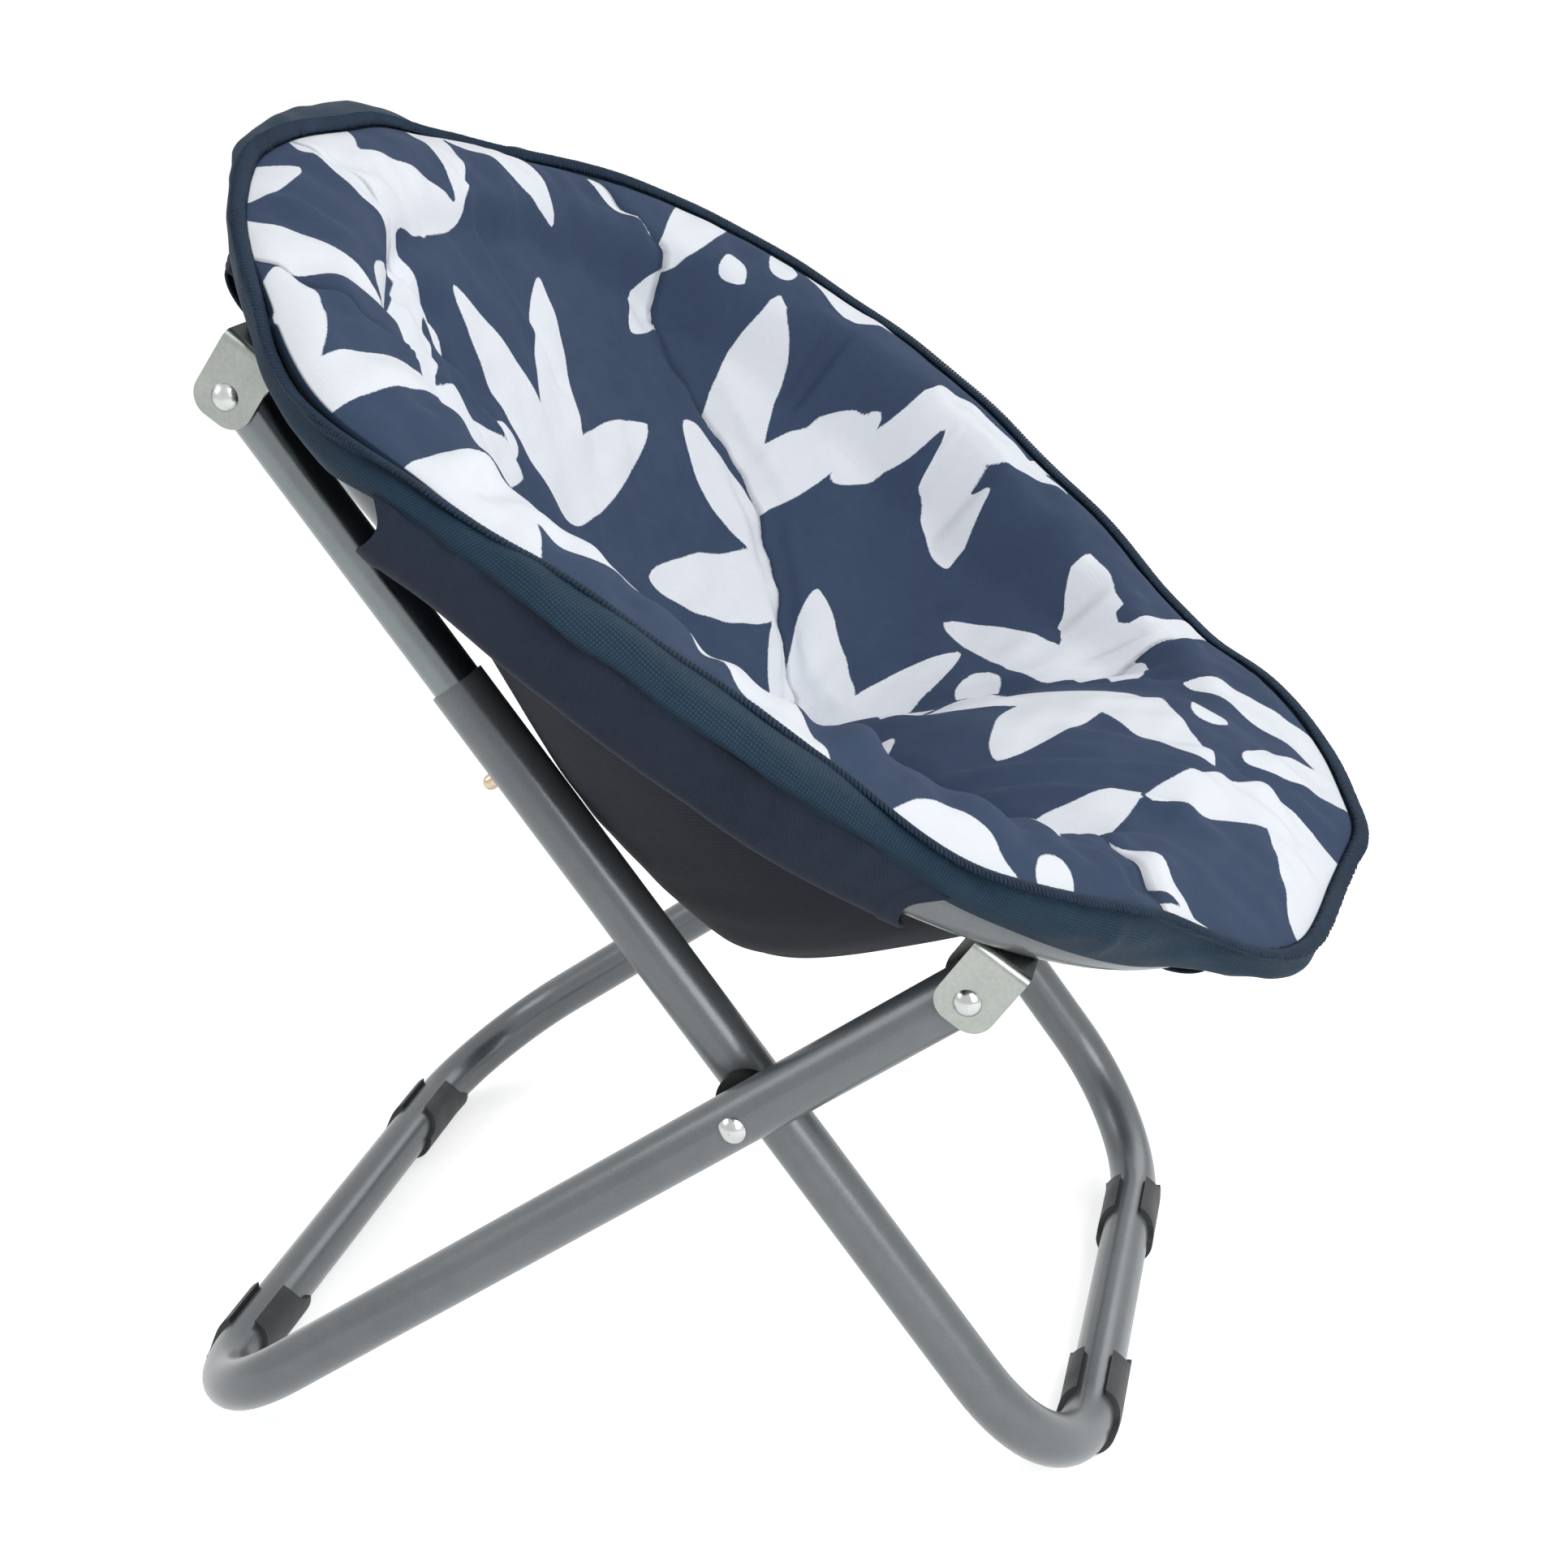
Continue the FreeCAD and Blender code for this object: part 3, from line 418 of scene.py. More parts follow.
def cushion_top(across, along):
    """Level of the cushion's top: the hollow, then a roll that runs out to the seam.

    The roll is an arc on its inner side. On its outer side it falls to the seam by a
    parabola, but stays above the ring's tube by an ellipse over it.
    """
    radius = np.hypot(across, along)
    angle = np.arctan2(across, along)
    inset = CUSHION_RADIUS - radius
    crown = np.maximum(crown_level(along), stitch_level(angle) + 0.5)
    pad_share = np.clip(seat_field(across, along) / PAD_LIFT_REACH, 0, 1)
    hollow = hollow_level(across, along) + PAD_LIFT * pad_share ** 0.55
    hollow = np.minimum(hollow, crown + (inset - ROLL_INSET) / 2)
    lift = ROLL_RADIUS ** 2 - np.clip(inset - ROLL_INSET, 0, ROLL_RADIUS) ** 2
    past_roll = inset > ROLL_INSET + ROLL_RADIUS
    roll = np.where(past_roll, FAR_BELOW, crown - ROLL_RADIUS + np.sqrt(lift))
    inner = np.maximum(hollow, roll)
    outer_width = ROLL_INSET - CUSHION_RADIUS + stitch_radius(angle)
    share = np.clip((ROLL_INSET - inset) / outer_width, 0, 1)
    outer = crown + (stitch_level(angle) - 1.5 - crown) * share ** 2
    from_tube = (radius - RING_RADIUS) / TUBE_COVER_REACH
    over = TUBE_COVER_LEVEL * np.sqrt(np.clip(1 - from_tube ** 2, 0, 1))
    over = over * np.clip((1 - share) * 9, 0, 1)
    outer = np.maximum(outer, np.where(share < 1, over, FAR_BELOW))
    return np.where(inset > ROLL_INSET, inner, outer)


def back_half_width(along):
    """Half the width of the back panel: as wide as the rear brackets, narrow at the pad."""
    share = np.clip((along - BACK_FOOT) / BACK_FLARE_LENGTH, 0, 1)
    return BACK_NARROW_HALF_WIDTH + BACK_FLARE * np.sin(share * math.pi / 2) ** 0.9


def back_field(across, along):
    """Above nothing inside the back panel, and below it outside, in millimetres."""
    fan = np.clip(np.abs(across) - FAN_HALF_WIDTH, 0, None) / FAN_SLOPE
    lower = (along - FAN_FOOT + fan) * FAN_BACK_SQUARE
    return np.minimum(back_half_width(along) - np.abs(across), lower)


def seat_field(across, along):
    """Above nothing inside the seat panel, a fan that spreads from the hollow to the front."""
    half_width = FAN_HALF_WIDTH - FAN_SLOPE * (along - FAN_FOOT)
    return (half_width - np.abs(across)) * FAN_SEAT_SQUARE


def seam_distance(across, along):
    """Distance to the nearest sewn seam between the panels of the cushion."""
    back, seat = back_field(across, along), seat_field(across, along)
    radius, angle = np.hypot(across, along), np.arctan2(across, along)
    rear = np.abs(turned(angle, REAR_SEAM_ANGLE)) * radius * DEGREE_ARC
    rear = rear + np.clip(REAR_SEAM_END - along, 0, None)
    return np.minimum(np.minimum(np.abs(back), np.abs(seat)), rear)


def cushion_under(across, along):
    """Level of the cushion's underside: on the shell, then up over the tube to the seam."""
    radius = np.hypot(across, along)
    top = cushion_top(across, along)
    over = np.minimum(TUBE_RADIUS + 0.9, top - 2)
    share = np.clip((radius - 276) / 12, 0, 1)
    over = over * (1 - share) + (top - 2.5) * share
    within = np.minimum(radius, SHELL_RADIUS - CUSHION_GAP) / np.maximum(radius, 1)
    low = shell_level(across * within, along * within) + CUSHION_GAP
    low = np.minimum(low, SHELL_LEVEL + 0.8)
    share = np.clip((radius - 251) / 11, 0, 1)
    return low * (1 - share) + over * share


def disc_grid(steps):
    """A square grid drawn out to a disc: each square ring of it becomes a circle.

    Gives each point's share of the way out and its angle.
    """
    line = np.linspace(-1, 1, steps)
    a, b = np.meshgrid(line, line, indexing="ij")
    reach = np.maximum(np.abs(a), np.abs(b))
    wide = np.abs(a) >= np.abs(b)
    ratio = np.where(wide, b, a) / np.where(reach == 0, 1, np.where(wide, a, b))
    angle = np.where(wide, ratio * math.pi / 4, math.pi / 2 - ratio * math.pi / 4)
    angle = angle + np.where(np.where(wide, a, b) < 0, math.pi, 0)
    return reach, angle


def cushion_form():
    """The cushion before it is filled: two discs of cloth, sewn together at the border."""
    share, angle = disc_grid(CLOTH_STEPS)
    radius = share * (stitch_radius(angle) + 0.5)
    across, along = radius * np.sin(angle), radius * np.cos(angle)
    top = cushion_top(across, along)
    low = np.where(share > 0.999, top, cushion_under(across, along))
    discs = [seat_points(across, along, level) for level in (top, low)]
    above = seat_points(across * 0.9, along * 0.9, 900.0)
    below = seat_points(across * 0.9, along * 0.9, -900.0)
    pieces = [
        surface("disc", disc, inside) for disc, inside in zip(discs, (below, above))
    ]
    return joined("cushion_cover", pieces)


def joined(name, pieces):
    """Several meshes as one piece, with the points that meet made one."""
    form = bmesh.new()
    for piece in pieces:
        form.from_mesh(piece.data)
        bpy.data.objects.remove(piece)
    bmesh.ops.remove_doubles(form, verts=form.verts, dist=0.00002)
    mesh = bpy.data.meshes.new(name)
    form.to_mesh(mesh)
    form.free()
    made = bpy.data.objects.new(name, mesh)
    bpy.context.scene.collection.objects.link(made)
    return made


def outward_volume(mesh):
    """Volume inside a closed mesh, which is above nothing if its faces look outwards."""
    mesh.calc_loop_triangles()
    triangles = np.empty(len(mesh.loop_triangles) * 3, dtype=np.int32)
    mesh.loop_triangles.foreach_get("vertices", triangles)
    p = mesh_points(mesh)[triangles.reshape(-1, 3)]
    return float((p[:, 0] * np.cross(p[:, 1], p[:, 2])).sum() / 6)


def filled(piece, held, frames=20):
    """Fills a closed cloth form like a cushion, by a cloth simulation with air inside.

    Points that are held stay, and no point moves further than the cap.
    """
    start = mesh_points(piece.data)
    group = piece.vertex_groups.new(name="held")
    for step in range(11):
        picked = np.flatnonzero(np.round(held * 10) == step)
        if step and len(picked):
            group.add(picked.tolist(), step / 10, "REPLACE")
    cloth = piece.modifiers.new("filling", "CLOTH")
    cloth.settings.quality = 5
    cloth.settings.mass = 0.25
    cloth.settings.tension_stiffness = 12
    cloth.settings.compression_stiffness = 12
    cloth.settings.shear_stiffness = 6
    cloth.settings.bending_stiffness = 0.6
    cloth.settings.use_pressure = True
    cloth.settings.uniform_pressure_force = 4
    cloth.settings.vertex_group_mass = "held"
    cloth.settings.effector_weights.gravity = 0
    cloth.collision_settings.use_collision = False
    cloth.point_cache.frame_start = 1
    cloth.point_cache.frame_end = frames
    scene = bpy.context.scene
    for number in range(1, frames + 1):
        scene.frame_set(number)
    view = bpy.context.evaluated_depsgraph_get()
    end = mesh_points(piece.evaluated_get(view).data)
    piece.modifiers.remove(cloth)
    piece.vertex_groups.clear()
    scene.frame_set(1)
    move = end - start
    far = np.linalg.norm(move, axis=1)[:, None]
    move *= np.minimum(1, PUFF_CAP * MM / np.maximum(far, 1e-9)) * (1 - held[:, None])
    move_points(piece.data, start + move)


# Printed pattern of the cushion: leaves in threes, with pebbles between them


LEAF_TURN = 0.62
LEAF_BEND = 26
PEBBLE_TURN = 2.3
PEBBLE_RADIUS = 11


def leaf_distance(x, y, foot, heading, length, width, bend):
    """Signed distance to a leaf: its width follows an arch along a bent midrib."""
    cosine, sine = math.cos(heading), math.sin(heading)
    along = (x - foot[0]) * cosine + (y - foot[1]) * sine
    across = (y - foot[1]) * cosine - (x - foot[0]) * sine
    share = np.clip(along / length, 0, 1)
    half = width * (4 * share * (1 - share) * (1.25 - 0.5 * share)) ** 0.62
    past = np.abs(along / length - share) * length
    off = np.abs(across - bend * share ** 2)
    return np.where(past > 0, np.hypot(off, past), off - half)


def print_distance(x, y, seed, pitch=158.0):
    """Signed distance to the white of the print, on the flat cloth, in millimetres.

    Sprigs of three leaves stand on a staggered grid, each turned its own way.
    """
    chance = np.random.default_rng(seed)
    nearest = np.full(x.shape, 99.0)
    for row in range(-4, 5):
        for column in range(-4, 5):
            lift = chance.uniform(-1, 1, 6)
            middle = np.array([(column + 0.5 * (row % 2)) * pitch, row * pitch * 0.87])
            middle += lift[:2] * 11
            heading = lift[2] * math.pi
            foot = middle - 62 * np.array([math.cos(heading), math.sin(heading)])
            size = 1 + 0.1 * lift[3]
            for side in (-1, 0, 1):
                nearest = np.minimum(
                    nearest,
                    leaf_distance(
                        x,
                        y,
                        foot,
                        heading + side * LEAF_TURN,
                        (128 if side == 0 else 112) * size,
                        (19.5 if side == 0 else 17.0) * size,
                        side * LEAF_BEND + 8 * lift[4],
                    ),
                )
            aside = heading + PEBBLE_TURN
            pebble = middle + pitch * 0.5 * np.array([math.cos(aside), math.sin(aside)])
            from_pebble = np.hypot((x - pebble[0]) / 1.3, y - pebble[1])
            nearest = np.minimum(nearest, from_pebble - PEBBLE_RADIUS)
    return nearest


def unrolled_places(across, along):
    """Places on the flat cloth: lengths over the cushion's form from its middle outwards."""
    angles = np.radians(np.arange(0, 361, 2.0))[:, None]
    radii = np.arange(0, 301, 2.0)[None, :]
    level = cushion_top(radii * np.sin(angles), radii * np.cos(angles))
    steps = np.hypot(np.diff(radii, axis=1), np.diff(level, axis=1))
    lengths = np.concatenate([np.zeros((len(angles), 1)), np.cumsum(steps, axis=1)], axis=1)
    turn = np.degrees(np.arctan2(across, along)) % 360 / 2
    reach = np.clip(np.hypot(across, along) / 2, 0, 149.99)
    i, j = np.minimum(turn.astype(int), 179), reach.astype(int)
    a, b = turn - i, reach - j
    far = (
        lengths[i, j] * (1 - a) * (1 - b)
        + lengths[i + 1, j] * a * (1 - b)
        + lengths[i, j + 1] * (1 - a) * b
        + lengths[i + 1, j + 1] * a * b
    )
    heading = np.arctan2(across, along)
    return far * np.sin(heading), far * np.cos(heading)


def set_attribute(mesh, name, values):
    """Gives a mesh a value at each of its points, under a name."""
    made = mesh.attributes.new(name, "FLOAT", "POINT")
    made.data.foreach_set("value", values.astype(np.float32))


def get_attribute(mesh, name):
    """The values that a mesh has at its points under a name."""
    values = np.empty(len(mesh.vertices), dtype=np.float32)
    mesh.attributes[name].data.foreach_get("value", values)
    return values.astype(float)


def make_cushion():
    """The padded lining: filled between its seams, then creased, wrinkled and printed."""
    piece = cushion_form()
    points = mesh_points(piece.data)
    across, along, level = seat_places(points)
    radius = np.hypot(across, along)
    angle = np.arctan2(across, along)
    is_top = level > cushion_top(across, along) - 0.4
    flat_x, flat_y = unrolled_places(across, along)
    set_attribute(piece.data, "flat_x", flat_x)
    set_attribute(piece.data, "flat_y", flat_y)
    set_attribute(piece.data, "start_across", across)
    set_attribute(piece.data, "start_along", along)
    set_attribute(piece.data, "is_top", is_top * 1.0)
    seam = bump_at(seam_distance(across, along), 0, 8)
    edge = np.clip((radius - stitch_radius(angle) + 16) / 14, 0, 1)
    held = np.where(is_top, np.maximum(seam, edge), 1.0)
    lowered = PUFF_START * np.clip((256 - radius) / 12, 0, 1) * is_top
    start = points - np.array(SEAT_NORMAL) * (lowered * MM)[:, None]
    move_points(piece.data, start)
    filled(piece, held)
    smooth = piece.modifiers.new("soft", "SUBSURF")
    smooth.levels = smooth.render_levels = 1
    settled(piece)
    mesh = piece.data
    points = mesh_points(mesh)
    across, along = get_attribute(mesh, "start_across"), get_attribute(mesh, "start_along")
    top = get_attribute(mesh, "is_top")
    radius = np.hypot(across, along)
    angle = np.arctan2(across, along)
    seam = seam_distance(across, along)
    inside = np.clip((stitch_radius(angle) - radius - 2) / 16, 0, 1) * top
    move = fold_heights(across, along, seam)
    points += np.array(SEAT_NORMAL) * (move * inside * MM)[:, None]
    move_points(mesh, points)
    # Each panel is cut from its own place of the printed cloth
    flat_x, flat_y = get_attribute(mesh, "flat_x"), get_attribute(mesh, "flat_y")
    set_attribute(mesh, "print_back", print_distance(flat_x + 31, flat_y - 12, 21))
    shift = np.where(across > 0, 40.0, -63.0)
    set_attribute(mesh, "print_side", print_distance(flat_x + shift, flat_y + 55, 22))
    set_attribute(mesh, "print_seat", print_distance(flat_x - 18, flat_y + 205, 23))
    set_attribute(mesh, "back_field", back_field(across, along))
    set_attribute(mesh, "seat_field", seat_field(across, along))
    set_attribute(mesh, "seam_distance", seam)
    set_attribute(mesh, "rim_distance", stitch_radius(angle) - radius)
    loops = np.empty(len(mesh.loops), dtype=np.int32)
    mesh.loops.foreach_get("vertex_index", loops)
    layer = mesh.uv_layers.new(name="cloth")
    flat = np.stack([flat_x, flat_y], axis=-1) * MM
    layer.data.foreach_set("uv", flat[loops].astype(np.float32).ravel())
    for name in ("flat_x", "flat_y", "start_across", "start_along", "is_top"):
        mesh.attributes.remove(mesh.attributes[name])
    mesh.shade_smooth()
    return piece


# Long soft folds of the cover: where each starts and ends, across and along, and its height
PLEATS = (
    ((-60, 232), (-30, 96), 2.2),
    ((-96, 214), (-66, 108), 2.0),
    ((-128, 190), (-96, 100), 1.8),
    ((40, 240), (52, 120), 1.6),
    ((-66, -96), (-40, -232), 2.2),
    ((-76, -108), (-80, -226), 2.0),
    ((-92, -112), (-122, -206), 1.8),
    ((-20, -150), (-6, -240), 1.5),
    ((70, -110), (96, -210), 1.8),
    ((30, -160), (52, -236), 1.4),
)


def fold_heights(across, along, seam):
    """Heights of the cover's folds over its filled form, in millimetres.

    Rays run in from the rim, more of them on the near side, over broad and fine waves.
    Each seam is a groove with puckers beside it, and the hollow has folds across it.
    """
    places = np.stack([across, along], axis=-1)
    radius, angle = np.hypot(across, along), np.arctan2(across, along)
    outer = np.clip((radius - 150) / 90, 0, 1)
    near = np.clip(-np.sin(angle) + 0.15, 0, 1)
    rays = np.sin(angle * 40 + 2.6 * waves(places, 210, 3)) * waves(places, 90, 4)
    heights = 2.0 * rays * outer * (0.35 + near) + 0.55 * waves(places, 25, 14)
    heights += 1.6 * waves(places, 120, 8) + 1.1 * waves(places, 44, 9)
    puckers = waves(places, 28, 10) * bump_at(seam, 0, 20)
    heights += 1.5 * puckers - 3.3 * bump_at(seam, 0, 3.4)
    inner = np.clip((150 - radius) / 60, 0, 1)
    folds = np.sin(across * 0.16 + 1.7 * waves(places, 130, 12)) * bump_at(along, -84, 26)
    heights += 2.0 * folds * inner
    heights += pleats(across, along)
    return heights


def pleats(across, along):
    """Heights of the soft folds: each a ridge along a line, which fades at its ends."""
    total = np.zeros_like(across)
    for start, end, height in PLEATS:
        run = np.array(end, dtype=float) - start
        length = math.hypot(*run)
        way = run / length
        on = (across - start[0]) * way[0] + (along - start[1]) * way[1]
        off = (along - start[1]) * way[0] - (across - start[0]) * way[1]
        fade = np.clip(on / 24, 0, 1) * np.clip((length - on) / 24, 0, 1)
        total += 1.9 * height * fade * (bump_at(off, 0, 6) - 0.6 * bump_at(off, 9, 7))
    return total


# Cloth round the ring

BORDER_WALL = 2.1
BORDER_STEPS = 900
THREAD_COUNT = 900
THREAD_RADIUS = 0.62
MOUTH_CUT = 13
MOUTH_CUT_REACH = 40
HEM_WIDTH = 13


def border_section(angle):
    """Section of the border at each angle: a closed line of knots.

    It starts at the lower seam on the ring tube's outer side, bulges out to the widest
    place, goes over the crown to the overlock seam, drops in there and comes back over
    the tube.
    """
    low, wide_r, wide_n = (rim_at(angle, number) for number in range(3))
    seam_r, seam_n = stitch_radius(angle), stitch_level(angle)
    joint = bump_at(turned(angle, -136), 0, 1.2) + 0.6 * bump_at(turned(angle, 152), 0, 1.2)
    wide_r = wide_r + 0.9 * ring_waves(angle, 17, 1, 7) + 1.6 * joint
    wide_n = wide_n + 0.6 * ring_waves(angle, 17, 2, 7)
    swell = np.clip((wide_r - seam_r) / 20, 0, 1) * 3.0
    edge = RING_RADIUS + TUBE_RADIUS + BORDER_WALL
    seat = TUBE_RADIUS + 0.6
    reach = TUBE_RADIUS + BORDER_WALL
    start = np.arcsin(low / reach)
    start = np.where(low > 0, np.arctan2(low, reach), start)
    end = np.arctan2(seam_n, seam_r - RING_RADIUS)
    knots = [
        (RING_RADIUS + reach * np.maximum(np.cos(start), np.sign(low) * 1.0), low),
        (edge * 0.45 + wide_r * 0.55, low + (wide_n - low) * 0.4),
        (wide_r, wide_n),
        (wide_r + (seam_r - wide_r) * 0.32, wide_n + (seam_n - wide_n) * 0.5 + swell),
        (wide_r + (seam_r - wide_r) * 0.7, wide_n + (seam_n - wide_n) * 0.86 + swell * 0.8),
        (seam_r + 1.4, seam_n + 0.5),
        (seam_r + 0.9, seam_n - 2.6),
    ]
    for share in (1.0, 0.67, 0.33, 0.0):
        turn = start + (end - start) * share
        knots.append((RING_RADIUS + seat * np.cos(turn), seat * np.sin(turn)))
    knots = [np.broadcast_arrays(*knot, angle)[:2] for knot in knots]
    return np.stack([np.stack(knot, axis=-1) for knot in knots], axis=-2)


def make_border():
    """The mesh border over the ring: its section carried once round."""
    angle = np.linspace(0, 2 * math.pi, BORDER_STEPS, endpoint=False)
    section = smooth_line(border_section(angle), 4, closed=True)
    radius, level = section[..., 0], section[..., 1]
    free = np.clip(np.hypot(radius - RING_RADIUS, level) / 5 - 3.1, 0, 1)
    places = np.stack(
        [radius * np.sin(angle)[:, None], radius * np.cos(angle)[:, None], level * 2.5], axis=-1
    )
    radius = radius + 0.5 * free * waves(places, 34, 31)
    level = level + 0.5 * free * waves(places, 30, 32)
    grid = ring_points(angle[:, None], radius, level)
    middle = section.mean(axis=1)
    inside = ring_points(angle[:, None], middle[:, :1], middle[:, 1:])
    lengths = line_lengths(np.concatenate([section[0], section[0, :1]]))
    rows_uv = np.linspace(0, 2 * math.pi, BORDER_STEPS + 1) * RING_RADIUS * MM
    return surface("rim_band", grid, inside, True, True, uv=(rows_uv, lengths * MM))


def threads(name, starts, bends, ends, radius, sides=5):
    """Short bent threads: each a tube of round section along a curve through three points.

    The curve is a parabola from start to end, and the tube's rings stand square to it.
    """
    t = np.linspace(0, 1, 6)[None, :, None]
    middle = 2 * bends - (starts + ends) / 2
    path = (1 - t) ** 2 * starts[:, None] + 2 * t * (1 - t) * middle[:, None]
    path = path + t ** 2 * ends[:, None]
    way = np.gradient(path, axis=1)
    way /= np.linalg.norm(way, axis=2, keepdims=True)
    side = np.cross(way, np.array(SEAT_NORMAL) + 0.2)
    side /= np.linalg.norm(side, axis=2, keepdims=True)
    lift = np.cross(side, way)
    turn = np.linspace(0, 2 * math.pi, sides, endpoint=False)[None, None, :, None]
    taper = np.array([0.55, 1.0, 1.0, 1.0, 1.0, 0.55])[None, :, None, None] * radius
    out = np.cos(turn) * side[:, :, None] + np.sin(turn) * lift[:, :, None]
    rings = path[:, :, None] + taper * out
    count, steps = rings.shape[:2]
    i = np.arange(steps - 1)[:, None] * sides
    j = np.arange(sides)[None, :]
    after = (j + 1) % sides
    quads = np.stack([i + j, i + after, i + sides + after, i + sides + j], axis=-1)
    first = np.arange(count)[:, None, None] * steps * sides
    faces = (quads.reshape(1, -1, 4) + first).reshape(-1, 4).tolist()
    starts_caps = (np.arange(sides)[None, ::-1] + first[:, 0]).tolist()
    ends_caps = (np.arange(sides)[None, :] + (steps - 1) * sides + first[:, 0]).tolist()
    piece = new_piece(name, rings.reshape(-1, 3), faces + starts_caps + ends_caps)
    if outward_volume(piece.data) < 0:
        piece.data.flip_normals()
    return piece


def make_overlock():
    """The overlock seam: slanted threads over the border's edge, and loops between them."""
    count = THREAD_COUNT
    angle = np.linspace(0, 2 * math.pi, count, endpoint=False)
    step = 2 * math.pi / count
    chance = np.random.default_rng(40)
    wander = chance.uniform(-0.35, 0.35, (4, count))

    def at(shift, out, up, pull):
        """Points by the seam: so many steps along it, and out and up from it."""
        turn = angle + shift * step
        return ring_points(turn, stitch_radius(turn) + out + pull, stitch_level(turn) + up)

    return threads(
        "overlock_threads",
        np.concatenate([at(0, 5.6, 1.4, wander[0]), at(0.45, 5.4, 1.5, wander[1])]),
        np.concatenate([at(0.3, 2.0, 2.2, 0 * angle), at(0.6, 2.2, 2.3, 0 * angle)]),
        np.concatenate([at(0.55, -2.2, 0.2, wander[2]), at(1.05, -2.0, 0.3, wander[3])]),
        THREAD_RADIUS * MM,
    )


def pocket_knots(seam):
    """Section of a cloth sleeve round the ring, as a line of knots.

    It goes from the border's seam down the flat side, under the tube and up to its end.
    """
    knots = (
        (RING_RADIUS + 15.2, seam + 1.6),
        (RING_RADIUS + 15.8, seam * 0.7 - 0.4),
        (RING_RADIUS + 15.4, seam * 0.3 - 2.6),
        (RING_RADIUS + 13.6, -8.6),
        (RING_RADIUS + 8.6, -13.4),
        (RING_RADIUS + 1.2, -16.0),
        (RING_RADIUS - 6.6, -14.6),
        (RING_RADIUS - 12.4, -10.4),
        (RING_RADIUS - 14.2, -5.0),
    )
    knots = [np.broadcast_arrays(*knot, seam)[:2] for knot in knots]
    return np.stack([np.stack(knot, axis=-1) for knot in knots], axis=-2)


def make_pocket(name, start, end, seed, flare):
    """A sleeve of cloth between two angles, with hems, a flared mouth and soft puckers.

    Each mouth is cut back where the sleeve is seen from outside, so that it looks square.
    """
    count = max(40, int((end - start) * 3))
    angle = np.radians(np.linspace(start, end, count))
    section = smooth_line(pocket_knots(rim_at(angle, 0)), 5)
    centre = np.array([RING_RADIUS, 0.0])
    out = section - centre
    out /= np.linalg.norm(out, axis=-1, keepdims=True)
    lengths = line_lengths(section[count // 2])
    share = (lengths / lengths[-1])[None, :]
    run = (angle * RING_RADIUS)[:, None]
    from_end = np.minimum(run - run[0], run[-1] - run)
    puckers = 0.5 * np.sin(run * 0.33 + 2.0 * ring_waves(angle, 14, seed, 5)[:, None])
    puckers = puckers * bump_at(share, 0.08, 0.16)
    sag = 1.0 * ring_waves(angle, 12, seed + 1, 4)[:, None] * np.sin(share * math.pi)
    hem = 0.8 * np.clip((HEM_WIDTH - from_end) / 2, 0, 1)
    mouths = flare[0] * bump_at(run - run[0], 0, 34) + flare[1] * bump_at(run[-1] - run, 0, 34)
    push = np.maximum(puckers + sag, -0.4) + hem + mouths * np.sin(share * math.pi) ** 1.5
    radius = section[..., 0] + out[..., 0] * push
    level = section[..., 1] + out[..., 1] * push
    cut = MOUTH_CUT / RING_RADIUS * np.sin(math.pi * np.clip(share / 0.62, 0, 1))
    at_start = np.clip(1 - (run - run[0]) / MOUTH_CUT_REACH, 0, 1)
    inwards = at_start - np.clip(1 - (run[-1] - run) / MOUTH_CUT_REACH, 0, 1)
    turn = angle[:, None] + cut * inwards
    grid = ring_points(turn, radius, level)
    inside = ring_points(turn, np.full_like(radius, RING_RADIUS), np.zeros_like(level))
    piece = surface(name, grid, inside, uv=(run[:, 0] * MM, lengths * MM))
    size = (float(lengths[-1]) * MM, float(run[-1, 0] - run[0, 0]) * MM)
    area = mesh_area(piece)
    return with_wall(piece, 1.3), size, area


def shell_outside(across, along):
    """Level of the shell with its cloth's slack: soft folds, and ridges along its seams."""
    places = np.stack([across, along], axis=-1)
    radius = np.hypot(across, along)
    angle = np.arctan2(across, along)
    free = np.clip((SHELL_RADIUS - radius) / 60, 0, 1)
    slack = 1.5 * waves(places, 150, 51) + 0.5 * waves(places, 60, 52)
    rays = 0.9 * np.sin(angle * 30 + 2 * waves(places, 200, 53))
    slack = slack + rays * np.clip((radius - 140) / 90, 0, 1)
    ridge = sum(
        bump_at(turned(angle, middle) * radius * DEGREE_ARC, 0, 4) for middle in SHELL_SEAM_ANGLES
    )
    return shell_level(across, along) - free * np.clip(1.2 + slack + 1.2 * ridge, 0, None)


def make_shell():
    """The hanging bowl: a surface over circles, from its lowest middle to the ring."""
    angle = np.linspace(0, 2 * math.pi, 320, endpoint=False)[None, :]
    share = np.sin(np.linspace(0, 1, 110) * math.pi / 2)[:, None]
    share[0] = 0.002
    radius = share * SHELL_RADIUS
    across, along = radius * np.sin(angle), radius * np.cos(angle)
    level = shell_outside(across, along)
    grid = seat_points(across, along, level)
    inside = seat_points(across * 0.2, along * 0.2, level + 200)
    piece = surface("bowl_shell", grid, inside, closed_columns=True, poles=(0,))
    area = mesh_area(piece)
    return with_wall(piece, 1.4), area


# Finishes


def add_node(tree, kind, inputs=None, **settings):
    """A shader node with its settings, whose inputs are values or other nodes' outputs."""
    made = tree.nodes.new(kind)
    for name, value in settings.items():
        setattr(made, name, value)
    for name, value in (inputs or {}).items():
        if isinstance(value, bpy.types.NodeSocket):
            tree.links.new(value, made.inputs[name])
        else:
            made.inputs[name].default_value = value
    return made


def maths(tree, operation, *values):
    """A number worked out from values or other nodes' outputs."""
    inputs = dict(enumerate(values))
    return add_node(tree, "ShaderNodeMath", inputs, operation=operation).outputs[0]


